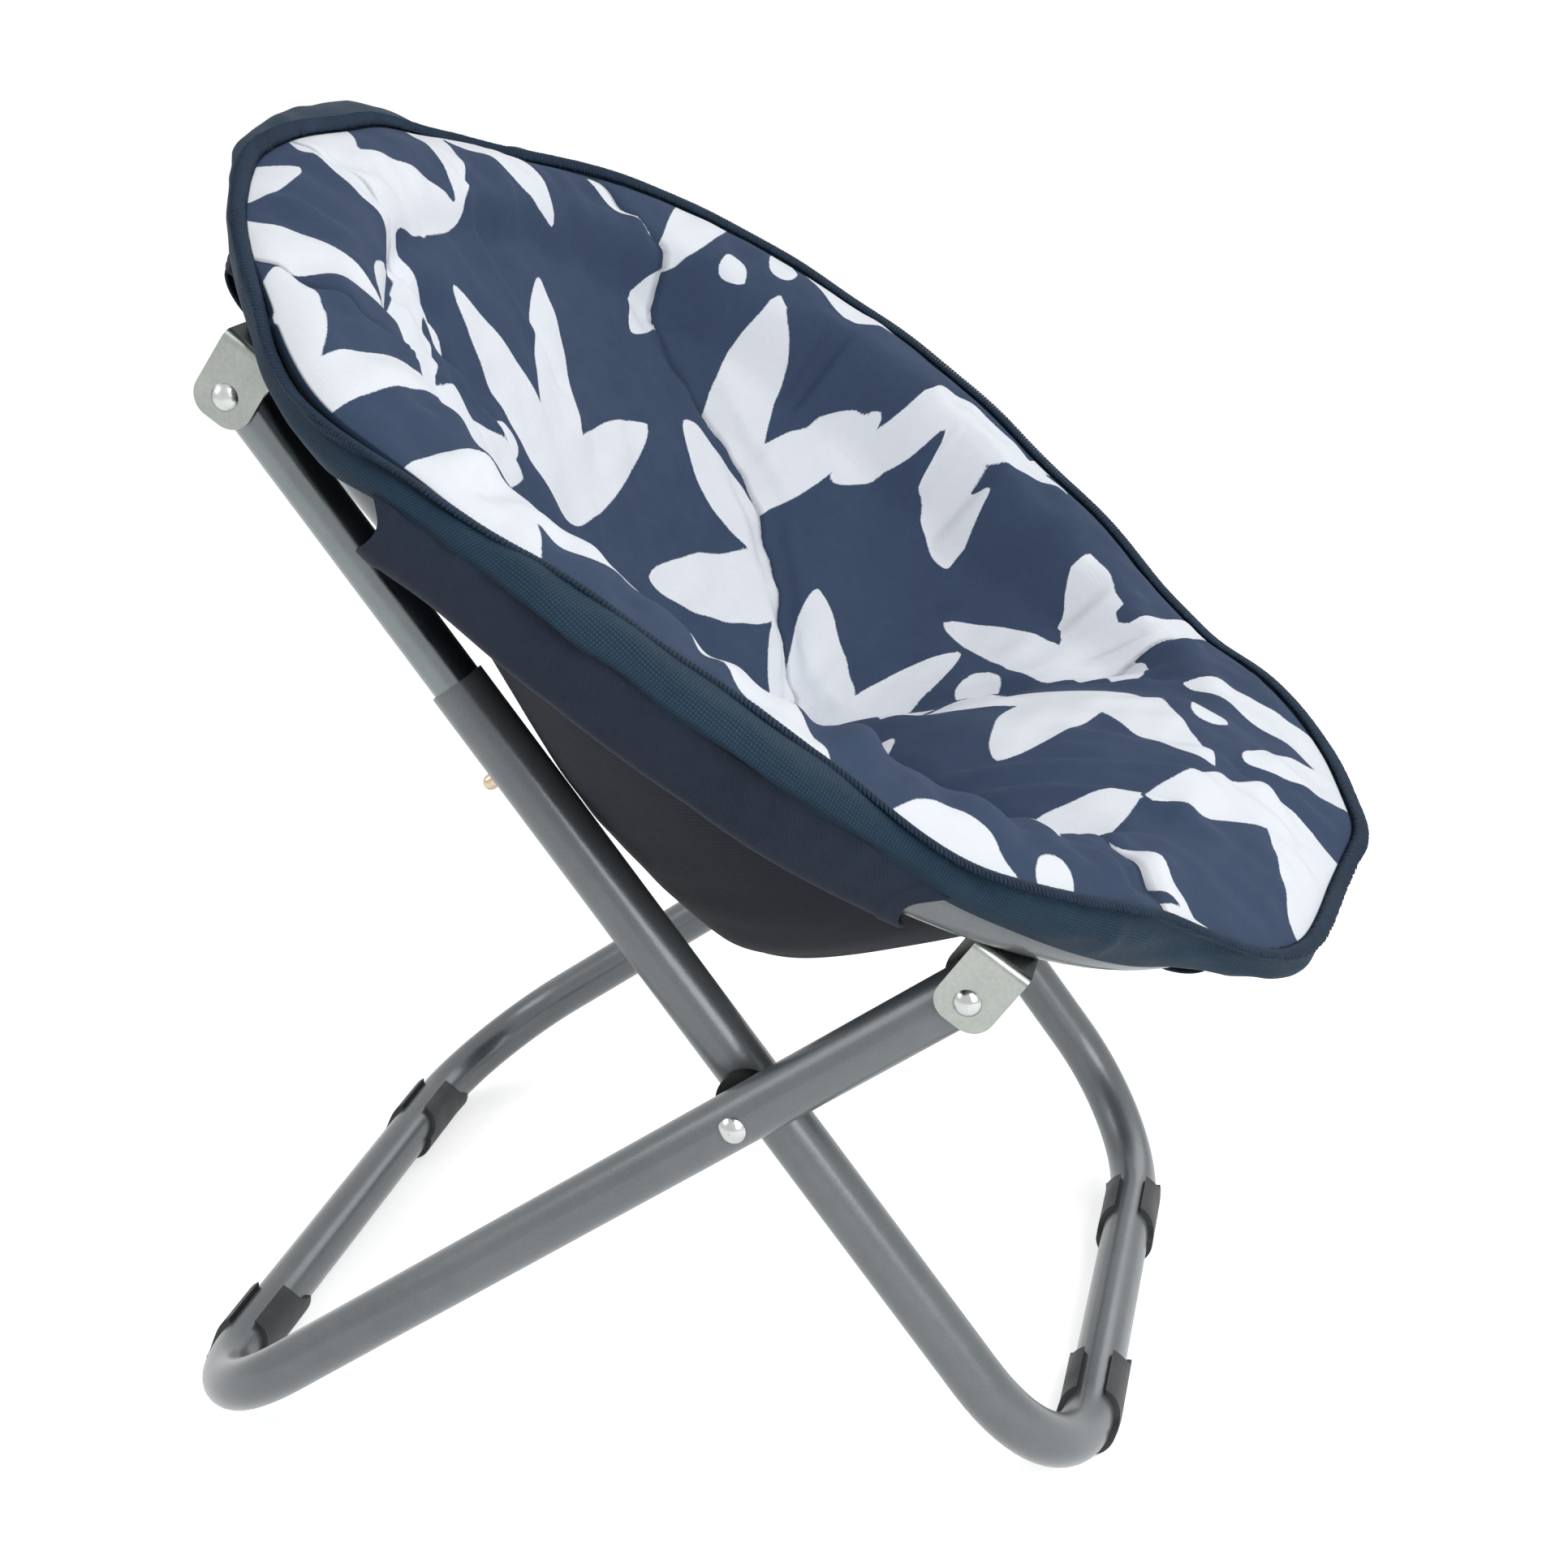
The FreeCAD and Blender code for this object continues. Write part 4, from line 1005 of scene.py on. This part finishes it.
def mixed(tree, share, first, second):
    """A colour between two colours."""
    made = add_node(
        tree, "ShaderNodeMix", {0: share, 6: first, 7: second}, data_type="RGBA", clamp_factor=True
    )
    return made.outputs[2]


def ranged(tree, value, low, high, start=0.0, end=1.0):
    """A value carried from one range to another, and held inside it."""
    inputs = {"Value": value, 1: low, 2: high, 3: start, 4: end}
    return add_node(tree, "ShaderNodeMapRange", inputs, clamp=True).outputs[0]


def noise(tree, place, scale, detail):
    """Soft random values of about nothing to one, so many to a metre."""
    inputs = {"Vector": place, "Scale": scale, "Detail": detail}
    return add_node(tree, "ShaderNodeTexNoise", inputs).outputs[0]


def effect(name, inputs, outputs):
    """A node group for an effect that several finishes share."""
    group = bpy.data.node_groups.new(name, "ShaderNodeTree")
    for label, kind, value in inputs:
        socket = group.interface.new_socket(label, in_out="INPUT", socket_type=kind)
        if value is not None:
            socket.default_value = value
    for label, kind in outputs:
        group.interface.new_socket(label, in_out="OUTPUT", socket_type=kind)
    entry = group.nodes.new("NodeGroupInput")
    leave = group.nodes.new("NodeGroupOutput")
    return group, entry.outputs, leave.inputs


def weave_effect():
    """Threads over and under each other: two crossed sine waves, more or less slanted."""
    group, given, result = effect(
        "weave",
        [
            ("Place", "NodeSocketVector", None),
            ("Threads per metre", "NodeSocketFloat", 1500.0),
            ("Slant", "NodeSocketFloat", 0.0),
        ],
        [("Height", "NodeSocketFloat")],
    )
    split = add_node(group, "ShaderNodeSeparateXYZ", {0: given["Place"]}).outputs
    turns = maths(group, "MULTIPLY", given["Threads per metre"], math.pi)
    x = maths(group, "MULTIPLY", split[0], turns)
    y = maths(group, "MULTIPLY", split[1], turns)
    slanted = maths(group, "MULTIPLY_ADD", y, given["Slant"], x)
    crossed = maths(group, "SUBTRACT", y, maths(group, "MULTIPLY", x, given["Slant"]))
    threads_over = [maths(group, "SINE", way) for way in (slanted, crossed)]
    product = maths(group, "MULTIPLY", *threads_over)
    group.links.new(maths(group, "MULTIPLY_ADD", product, 0.5, 0.5), result["Height"])
    return group


def mottle_effect():
    """Soft patches of tone about one: coarse and fine noise together."""
    group, given, result = effect(
        "mottle",
        [
            ("Place", "NodeSocketVector", None),
            ("Patches per metre", "NodeSocketFloat", 20.0),
            ("Depth", "NodeSocketFloat", 0.1),
        ],
        [("Tone", "NodeSocketFloat"), ("Patches", "NodeSocketFloat")],
    )
    coarse = noise(group, given["Place"], given["Patches per metre"], 3.0)
    fine_scale = maths(group, "MULTIPLY", given["Patches per metre"], 9.0)
    fine = noise(group, given["Place"], fine_scale, 2.0)
    both = maths(group, "MULTIPLY_ADD", fine, 0.4, maths(group, "MULTIPLY", coarse, 0.6))
    centred = maths(group, "SUBTRACT", both, 0.5)
    spread = maths(group, "MULTIPLY", centred, 4.0)
    tone = maths(group, "MULTIPLY_ADD", spread, given["Depth"], 1.0)
    group.links.new(tone, result["Tone"])
    group.links.new(coarse, result["Patches"])
    return group


def scratch_effect():
    """Fine lines of a worked metal surface: noise drawn out along one way."""
    group, given, result = effect(
        "scratches",
        [
            ("Place", "NodeSocketVector", None),
            ("Lines per metre", "NodeSocketFloat", 4000.0),
            ("Draw", "NodeSocketVector", (0.03, 1.0, 1.0)),
        ],
        [("Height", "NodeSocketFloat")],
    )
    drawn = add_node(
        group, "ShaderNodeVectorMath", {0: given["Place"], 1: given["Draw"]}, operation="MULTIPLY"
    ).outputs[0]
    lines = add_node(
        group,
        "ShaderNodeTexNoise",
        {"Vector": drawn, "Scale": given["Lines per metre"], "Detail": 2.0, "Roughness": 0.6},
    ).outputs[0]
    group.links.new(lines, result["Height"])
    return group


WEAVE = weave_effect()
MOTTLE = mottle_effect()
SCRATCHES = scratch_effect()


def finish(name, **fixed):
    """A new material and its shader, with the sockets that are the same all over set."""
    made = bpy.data.materials.new(name)
    made.use_nodes = True
    tree = made.node_tree
    shader = tree.nodes["Principled BSDF"]
    for label, value in fixed.items():
        shader.inputs[label.replace("_", " ")].default_value = value
    return made, tree, shader


def placed_effect(tree, group, **inputs):
    """A node of a shared effect with its inputs set, and what it gives."""
    made = add_node(tree, "ShaderNodeGroup", node_tree=group)
    for label, value in inputs.items():
        socket = made.inputs[label.replace("_", " ")]
        if isinstance(value, bpy.types.NodeSocket):
            tree.links.new(value, socket)
        else:
            socket.default_value = value
    return made.outputs


def object_place(tree):
    """The place of a point in its object's own frame, in metres."""
    return add_node(tree, "ShaderNodeTexCoord").outputs["Object"]


def cloth_place(tree):
    """The place of a point on the flat cloth, in metres."""
    return add_node(tree, "ShaderNodeUVMap", uv_map="cloth").outputs[0]


def bumped(tree, shader, height, distance, strength=1.0):
    """Feeds a height, in metres at its full value, to the shader's normal."""
    made = add_node(
        tree, "ShaderNodeBump", {"Height": height, "Distance": distance, "Strength": strength}
    )
    tree.links.new(made.outputs[0], shader.inputs["Normal"])


def toned(tree, colour, tone):
    """A colour made lighter or darker by a tone about one."""
    made = add_node(
        tree, "ShaderNodeVectorMath", {0: colour, "Scale": tone}, operation="SCALE"
    )
    return made.outputs[0]


def linear(red, green, blue):
    """A colour written in screen values of 0 to 255, for a shader."""
    parts = [c / 255 for c in (red, green, blue)]
    return tuple(((c + 0.055) / 1.055) ** 2.4 if c > 0.04045 else c / 12.92 for c in parts)


def navy_cloth(name, colour, threads_per_metre, sheen):
    """Plain woven navy cloth, with uneven dye and lint."""
    made, tree, shader = finish(name, Roughness=0.9, Sheen_Weight=sheen, Specular_IOR_Level=0.25)
    place = object_place(tree)
    tone = placed_effect(tree, MOTTLE, Place=place, Patches_per_metre=14.0, Depth=0.22)["Tone"]
    flecks = ranged(tree, noise(tree, place, 900.0, 1.0), 0.66, 0.78, 0.0, 0.3)
    dyed = toned(tree, colour, tone)
    tree.links.new(mixed(tree, flecks, dyed, (0.05, 0.06, 0.08, 1)), shader.inputs["Base Color"])
    weave = placed_effect(
        tree, WEAVE, Place=place, Threads_per_metre=threads_per_metre, Slant=0.35
    )["Height"]
    bumped(tree, shader, weave, 0.0003, 0.5)
    return made


def printed_cloth():
    """Cotton printed white on navy, panel by panel, with painted shade along its seams."""
    made, tree, shader = finish("printed_cotton", Roughness=0.88, Specular_IOR_Level=0.2)
    place = cloth_place(tree)

    def held(name):
        """A value that the cushion's mesh carries at its points."""
        return add_node(tree, "ShaderNodeAttribute", attribute_name=name).outputs["Fac"]

    in_back = maths(tree, "GREATER_THAN", held("back_field"), 0.0)
    in_seat = maths(tree, "GREATER_THAN", held("seat_field"), 0.0)

    def chosen(share, first, second):
        """The first number where the share is nothing, and the second where it is one."""
        inputs = {0: share, 2: first, 3: second}
        return add_node(tree, "ShaderNodeMix", inputs, data_type="FLOAT").outputs[0]

    distance = chosen(in_back, held("print_side"), held("print_back"))
    distance = chosen(in_seat, distance, held("print_seat"))
    fray = noise(tree, place, 700.0, 2.0)
    ragged = maths(tree, "MULTIPLY_ADD", maths(tree, "SUBTRACT", fray, 0.5), 1.1, distance)
    white = ranged(tree, ragged, 0.35, -0.35)
    mottle = placed_effect(tree, MOTTLE, Place=place, Patches_per_metre=16.0, Depth=0.1)
    navy = toned(tree, linear(59, 74, 99), mottle["Tone"])
    cotton = toned(tree, linear(232, 236, 243), ranged(tree, mottle["Tone"], 0.8, 1.2, 0.97, 1.02))
    base = mixed(tree, white, navy, cotton)
    worn = ranged(tree, fray, 0.62, 0.8, 0.0, 0.12)
    base = mixed(tree, worn, base, (*linear(120, 135, 160), 1))
    # Painted shade: the cloth darkens within three millimetres of each seam, standing in for shade
    # in its crease.
    seam_painted_shade = ranged(tree, held("seam_distance"), 0.0, 3.0, 0.6, 0.0)
    base = mixed(tree, seam_painted_shade, base, (*linear(30, 38, 54), 1))
    near_rim = ranged(tree, held("rim_distance"), 2.3, 2.9, 1.0, 0.0)
    base = mixed(tree, near_rim, base, (*linear(24, 42, 62), 1))
    tree.links.new(base, shader.inputs["Base Color"])
    weave = placed_effect(tree, WEAVE, Place=place, Threads_per_metre=1300.0)["Height"]
    bumped(tree, shader, weave, 0.0002, 0.45)
    return made


def border_cloth():
    """The border's mesh band: slanted ribs of glossy yarn, with a painted highlight on their
    ridges.
    """
    made, tree, shader = finish("mesh_band", Roughness=0.65, Specular_IOR_Level=0.22)
    place = cloth_place(tree)
    weave = placed_effect(tree, WEAVE, Place=place, Threads_per_metre=820.0, Slant=0.8)["Height"]
    fine = placed_effect(tree, WEAVE, Place=place, Threads_per_metre=1600.0)["Height"]
    mottle = placed_effect(tree, MOTTLE, Place=place, Patches_per_metre=25.0, Depth=0.25)["Tone"]
    # Painted highlight: the ribs' ridges get a lighter colour, standing in for glints of the
    # glossy yarn.
    ridge = ranged(tree, weave, 0.55, 1.0)
    base = mixed(tree, ridge, (*linear(18, 40, 58), 1), (*linear(40, 74, 94), 1))
    tree.links.new(toned(tree, base, mottle), shader.inputs["Base Color"])
    height = maths(tree, "MULTIPLY_ADD", fine, 0.15, weave)
    bumped(tree, shader, height, 0.0004, 0.8)
    return made


def stitch_thread():
    """Dark twisted yarn of the overlock seam, uneven in tone."""
    made, tree, shader = finish("overlock_yarn", Roughness=0.7, Specular_IOR_Level=0.3)
    place = object_place(tree)
    tone = placed_effect(tree, MOTTLE, Place=place, Patches_per_metre=60.0, Depth=0.5)["Tone"]
    tree.links.new(toned(tree, linear(24, 44, 64), tone), shader.inputs["Base Color"])
    twist = placed_effect(tree, WEAVE, Place=place, Threads_per_metre=2600.0, Slant=1.0)["Height"]
    bumped(tree, shader, twist, 0.0002, 0.6)
    return made


def grey_paint():
    """Satin metallic paint on tube: fine flakes, faint orange peel and dust."""
    made, tree, shader = finish(
        "grey_paint",
        Metallic=0.45,
        Coat_Weight=0.2,
        Coat_Roughness=0.12,
        Specular_IOR_Level=0.4,
    )
    place = object_place(tree)
    mottle = placed_effect(tree, MOTTLE, Place=place, Patches_per_metre=9.0, Depth=0.12)
    flakes = add_node(tree, "ShaderNodeTexVoronoi", {"Vector": place, "Scale": 2600.0}).outputs
    flake = add_node(tree, "ShaderNodeSeparateXYZ", {0: flakes["Color"]}).outputs[0]
    tone = maths(tree, "MULTIPLY_ADD", flake, 0.16, maths(tree, "SUBTRACT", mottle["Tone"], 0.08))
    tree.links.new(toned(tree, linear(106, 111, 114), tone), shader.inputs["Base Color"])
    rough = ranged(tree, mottle["Patches"], 0.3, 0.7, 0.26, 0.38)
    tree.links.new(rough, shader.inputs["Roughness"])
    bumped(tree, shader, noise(tree, place, 420.0, 1.0), 0.00012, 0.5)
    return made


def bright_plate(name, colour, roughness, lines, draw, tarnish):
    """Plated or bare metal: drawn lines, and patches where it has dulled.

    Takes its colour, its lowest and highest roughness, its lines per metre, how far they
    are drawn out each way, and how deep its tarnish goes.
    """
    made, tree, shader = finish(name, Metallic=1.0)
    place = object_place(tree)
    mottle = placed_effect(tree, MOTTLE, Place=place, Patches_per_metre=55.0, Depth=tarnish)
    tree.links.new(toned(tree, colour, mottle["Tone"]), shader.inputs["Base Color"])
    scratches = placed_effect(
        tree, SCRATCHES, Place=place, Lines_per_metre=lines, Draw=draw
    )["Height"]
    uneven = maths(tree, "SUBTRACT", scratches, 0.5)
    worn = maths(tree, "MULTIPLY_ADD", uneven, 0.2, mottle["Patches"])
    tree.links.new(ranged(tree, worn, 0.3, 0.7, *roughness), shader.inputs["Roughness"])
    bumped(tree, shader, scratches, 0.00006, 0.4)
    return made


def moulded_plastic(name, colour, roughness):
    """Moulded plastic with a fine grain and scuffs."""
    made, tree, shader = finish(name)
    place = object_place(tree)
    mottle = placed_effect(tree, MOTTLE, Place=place, Patches_per_metre=70.0, Depth=0.3)
    tree.links.new(toned(tree, colour, mottle["Tone"]), shader.inputs["Base Color"])
    rough = ranged(tree, mottle["Patches"], 0.3, 0.7, roughness - 0.08, roughness + 0.1)
    tree.links.new(rough, shader.inputs["Roughness"])
    bumped(tree, shader, noise(tree, place, 2400.0, 2.0), 0.00015, 0.6)
    return made


def assign(piece, made):
    """Gives a piece its material, in place of any it had."""
    piece.data.materials.clear()
    piece.data.materials.append(made)


def finish_node(node, made):
    """Gives a CAD node its finish through its object's material slots."""
    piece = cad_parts[node]
    if not piece.material_slots:
        piece.data.materials.append(made)
    for slot in piece.material_slots:
        slot.link = "OBJECT"
        slot.material = made


# Metals: colour on screen, roughness from and to, lines per metre, their draw, and tarnish
METALS = (
    ("bright_tube", (118, 124, 126), (0.17, 0.27), 3000.0, (1.0, 0.05, 0.05), 0.08),
    ("bracket_zinc", (158, 162, 158), (0.2, 0.36), 2600.0, (1.0, 0.08, 1.0), 0.16),
    ("rivet_steel", (190, 193, 192), (0.14, 0.28), 3200.0, (1.0, 1.0, 1.0), 0.1),
    ("spring_steel", (150, 152, 156), (0.3, 0.45), 3200.0, (1.0, 1.0, 0.1), 0.15),
    ("button_nickel", (196, 180, 158), (0.14, 0.3), 3600.0, (1.0, 1.0, 1.0), 0.14),
)

PAINT = grey_paint()
BRIGHT_TUBE, ZINC, RIVET, SPRING, NICKEL = (
    bright_plate(name, linear(*colour), *rest) for name, colour, *rest in METALS
)
CLIP = moulded_plastic("clip_plastic", linear(44, 48, 51), 0.55)
SPACER = moulded_plastic("spacer_plastic", linear(24, 24, 25), 0.5)
PRINTED = printed_cloth()
BAND = border_cloth()
SHELL_CLOTH = navy_cloth("shell_cloth", linear(31, 35, 43), 1100.0, 0.02)
POCKET_CLOTH = navy_cloth("pocket_cloth", linear(34, 42, 57), 1200.0, 0.03)
YARN = stitch_thread()

NODE_FINISHES = {
    "seat_ring": PAINT,
    "front_leg_frame": PAINT,
    "rear_leg_frame": PAINT,
    "slide_tube_left": BRIGHT_TUBE,
    "slide_tube_right": BRIGHT_TUBE,
    "bracket_fixings": RIVET,
    "cross_rivets": RIVET,
    "cross_rivet_tails": RIVET,
    "button_spring_left": SPRING,
    "button_spring_right": SPRING,
    "snap_button_left": NICKEL,
    "snap_button_right": NICKEL,
    "front_foot_clips": CLIP,
    "rear_foot_clips": CLIP,
    "cross_spacers": SPACER,
}
for end in ("front", "rear"):
    for side in ("left", "right"):
        NODE_FINISHES[end + "_bracket_" + side] = ZINC
        NODE_FINISHES[end + "_pivot_rivet_" + side] = RIVET
for node, made in NODE_FINISHES.items():
    finish_node(node, made)


# The pieces of the seat, each on the body of the ring

FOLD_ANCHOR = seat_points(0.0, 0.0, 27.0).tolist()
# Square to the plane of the cushion's edge, which is higher at the front and the right
FOLD_AXIS = (seat_points(-7 / 270, 8 / 270, 1.0) - seat_points(0, 0, 0)) / MM


def folds_flat(piece):
    """Gives the piece its own copy of its mesh."""
    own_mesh(piece)


cushion = make_cushion()
assign(cushion, PRINTED)
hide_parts("seat_cushion")
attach(cushion, "seat")
folds_flat(cushion)

border = make_border()
assign(border, BAND)
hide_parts("rim_border")
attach(border, "seat")

overlock = make_overlock()
assign(overlock, YARN)
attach(overlock, "seat")

shell, shell_area = make_shell()
assign(shell, SHELL_CLOTH)
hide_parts("seat_shell")
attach(shell, "seat")
folds_flat(shell)

# Each pocket's angles round the ring, the seed of its puckers, and how far its mouths flare
POCKETS = (
    ("side_pocket_right", 65.0, 119.8, 61, (8.0, 2.0)),
    ("side_pocket_left", -119.8, -65.0, 63, (2.0, 8.0)),
    ("rear_pocket", -34.0, 34.0, 65, (2.0, 2.0)),
    ("front_pocket", 155.0, 205.0, 67, (2.0, 2.0)),
)
for node, start, end, seed, flare in POCKETS:
    pocket, size, area = make_pocket(node + "_sleeve", start, end, seed, flare)
    assign(pocket, POCKET_CLOTH)
    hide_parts(node)
    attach(pocket, "seat")


# The floor, the light and the camera

# Lamps: where each stands and looks, its side in metres, and its power in watts
LAMPS = (
    ("top_lamp", (-1.2, -1.1, 2.3), (0, 0, 0.3), 0.9, 16),
    ("key_lamp", (-1.55, -1.7, 1.25), (0, 0, 0.3), 1.2, 21),
    ("fill_lamp", (1.8, -1.0, 1.9), (0, 0, 0.3), 1.6, 15),
    ("rear_lamp", (-0.9, 2.0, 1.8), (0, 0, 0.35), 1.2, 12),
)

# The camera: its place in metres, its azimuth, height and roll in degrees, and its lens
CAMERA_PLACE = (-1.0562, -0.2651, 0.6964)
CAMERA_ANGLES = (-75.985, 20.627, 1.255)
LENS_LENGTH = 54.033

def floor_finish():
    """A plain white floor, which stays white where it is seen and keeps the chair's shadow."""
    made, tree, shader = finish("floor_paint", Roughness=0.9, Specular_IOR_Level=0.1)
    shader.inputs["Base Color"].default_value = (0.93, 0.93, 0.93, 1)
    shader.inputs["Emission Color"].default_value = (1, 1, 1, 1)
    glow = maths(tree, "MULTIPLY", seen_directly(tree), 0.62)
    tree.links.new(glow, shader.inputs["Emission Strength"])
    return made


def seen_directly(tree):
    """One for what the camera sees, also by a mirror or through glass, and nothing for light."""
    path = add_node(tree, "ShaderNodeLightPath").outputs
    seen = maths(tree, "MAXIMUM", path["Is Camera Ray"], path["Is Glossy Ray"])
    return maths(tree, "MAXIMUM", seen, path["Is Transmission Ray"])


def make_floor():
    """The floor of the stage: a wide square just below the chair's feet."""
    half = 6.0
    points = np.array([[-half, -half, 0], [half, -half, 0], [half, half, 0], [-half, half, 0]])
    floor = new_piece("floor", points - [0, 0, 0.0004], [[0, 1, 2, 3]])
    assign(floor, floor_finish())


def make_world():
    """An even pale room: white where it is seen, and a plain level of light elsewhere."""
    world = bpy.data.worlds.new("studio")
    world.use_nodes = True
    tree = world.node_tree
    light = tree.nodes["Background"]
    strength = maths(tree, "MULTIPLY_ADD", seen_directly(tree), 0.6, 0.4)
    tree.links.new(strength, light.inputs["Strength"])
    light.inputs["Color"].default_value = (1, 1, 1, 1)
    bpy.context.scene.world = world


def make_lamp(name, place, target, size, power):
    """A soft square lamp that looks at a point of the chair."""
    lamp = bpy.data.lights.new(name, "AREA")
    lamp.shape = "SQUARE"
    lamp.size = size
    lamp.energy = power
    made = bpy.data.objects.new(name, lamp)
    bpy.context.scene.collection.objects.link(made)
    way = Vector(target) - Vector(place)
    made.location = place
    made.rotation_euler = way.to_track_quat("-Z", "Y").to_euler()


def make_camera():
    """The photograph's camera: from the chair's left side, a little above it."""
    azimuth, height, roll = (math.radians(angle) for angle in CAMERA_ANGLES)
    back = Vector(
        (
            math.sin(azimuth) * math.cos(height),
            -math.cos(azimuth) * math.cos(height),
            math.sin(height),
        )
    )
    right = (-back).cross(Vector((0, 0, 1))).normalized()
    down = (-back).cross(right)
    turned_right = right * math.cos(roll) + down * math.sin(roll)
    turned_down = down * math.cos(roll) - right * math.sin(roll)
    lens = bpy.data.cameras.new("photo_camera")
    lens.lens = LENS_LENGTH
    lens.sensor_width = 36.0
    camera = bpy.data.objects.new("photo_camera", lens)
    axes = Matrix((turned_right, -turned_down, back)).transposed()
    camera.matrix_world = Matrix.Translation(CAMERA_PLACE) @ axes.to_4x4()
    bpy.context.scene.collection.objects.link(camera)
    bpy.context.scene.camera = camera


make_floor()
make_world()
for lamp in LAMPS:
    make_lamp(*lamp)
make_camera()
bpy.context.scene.view_settings.view_transform = "Standard"
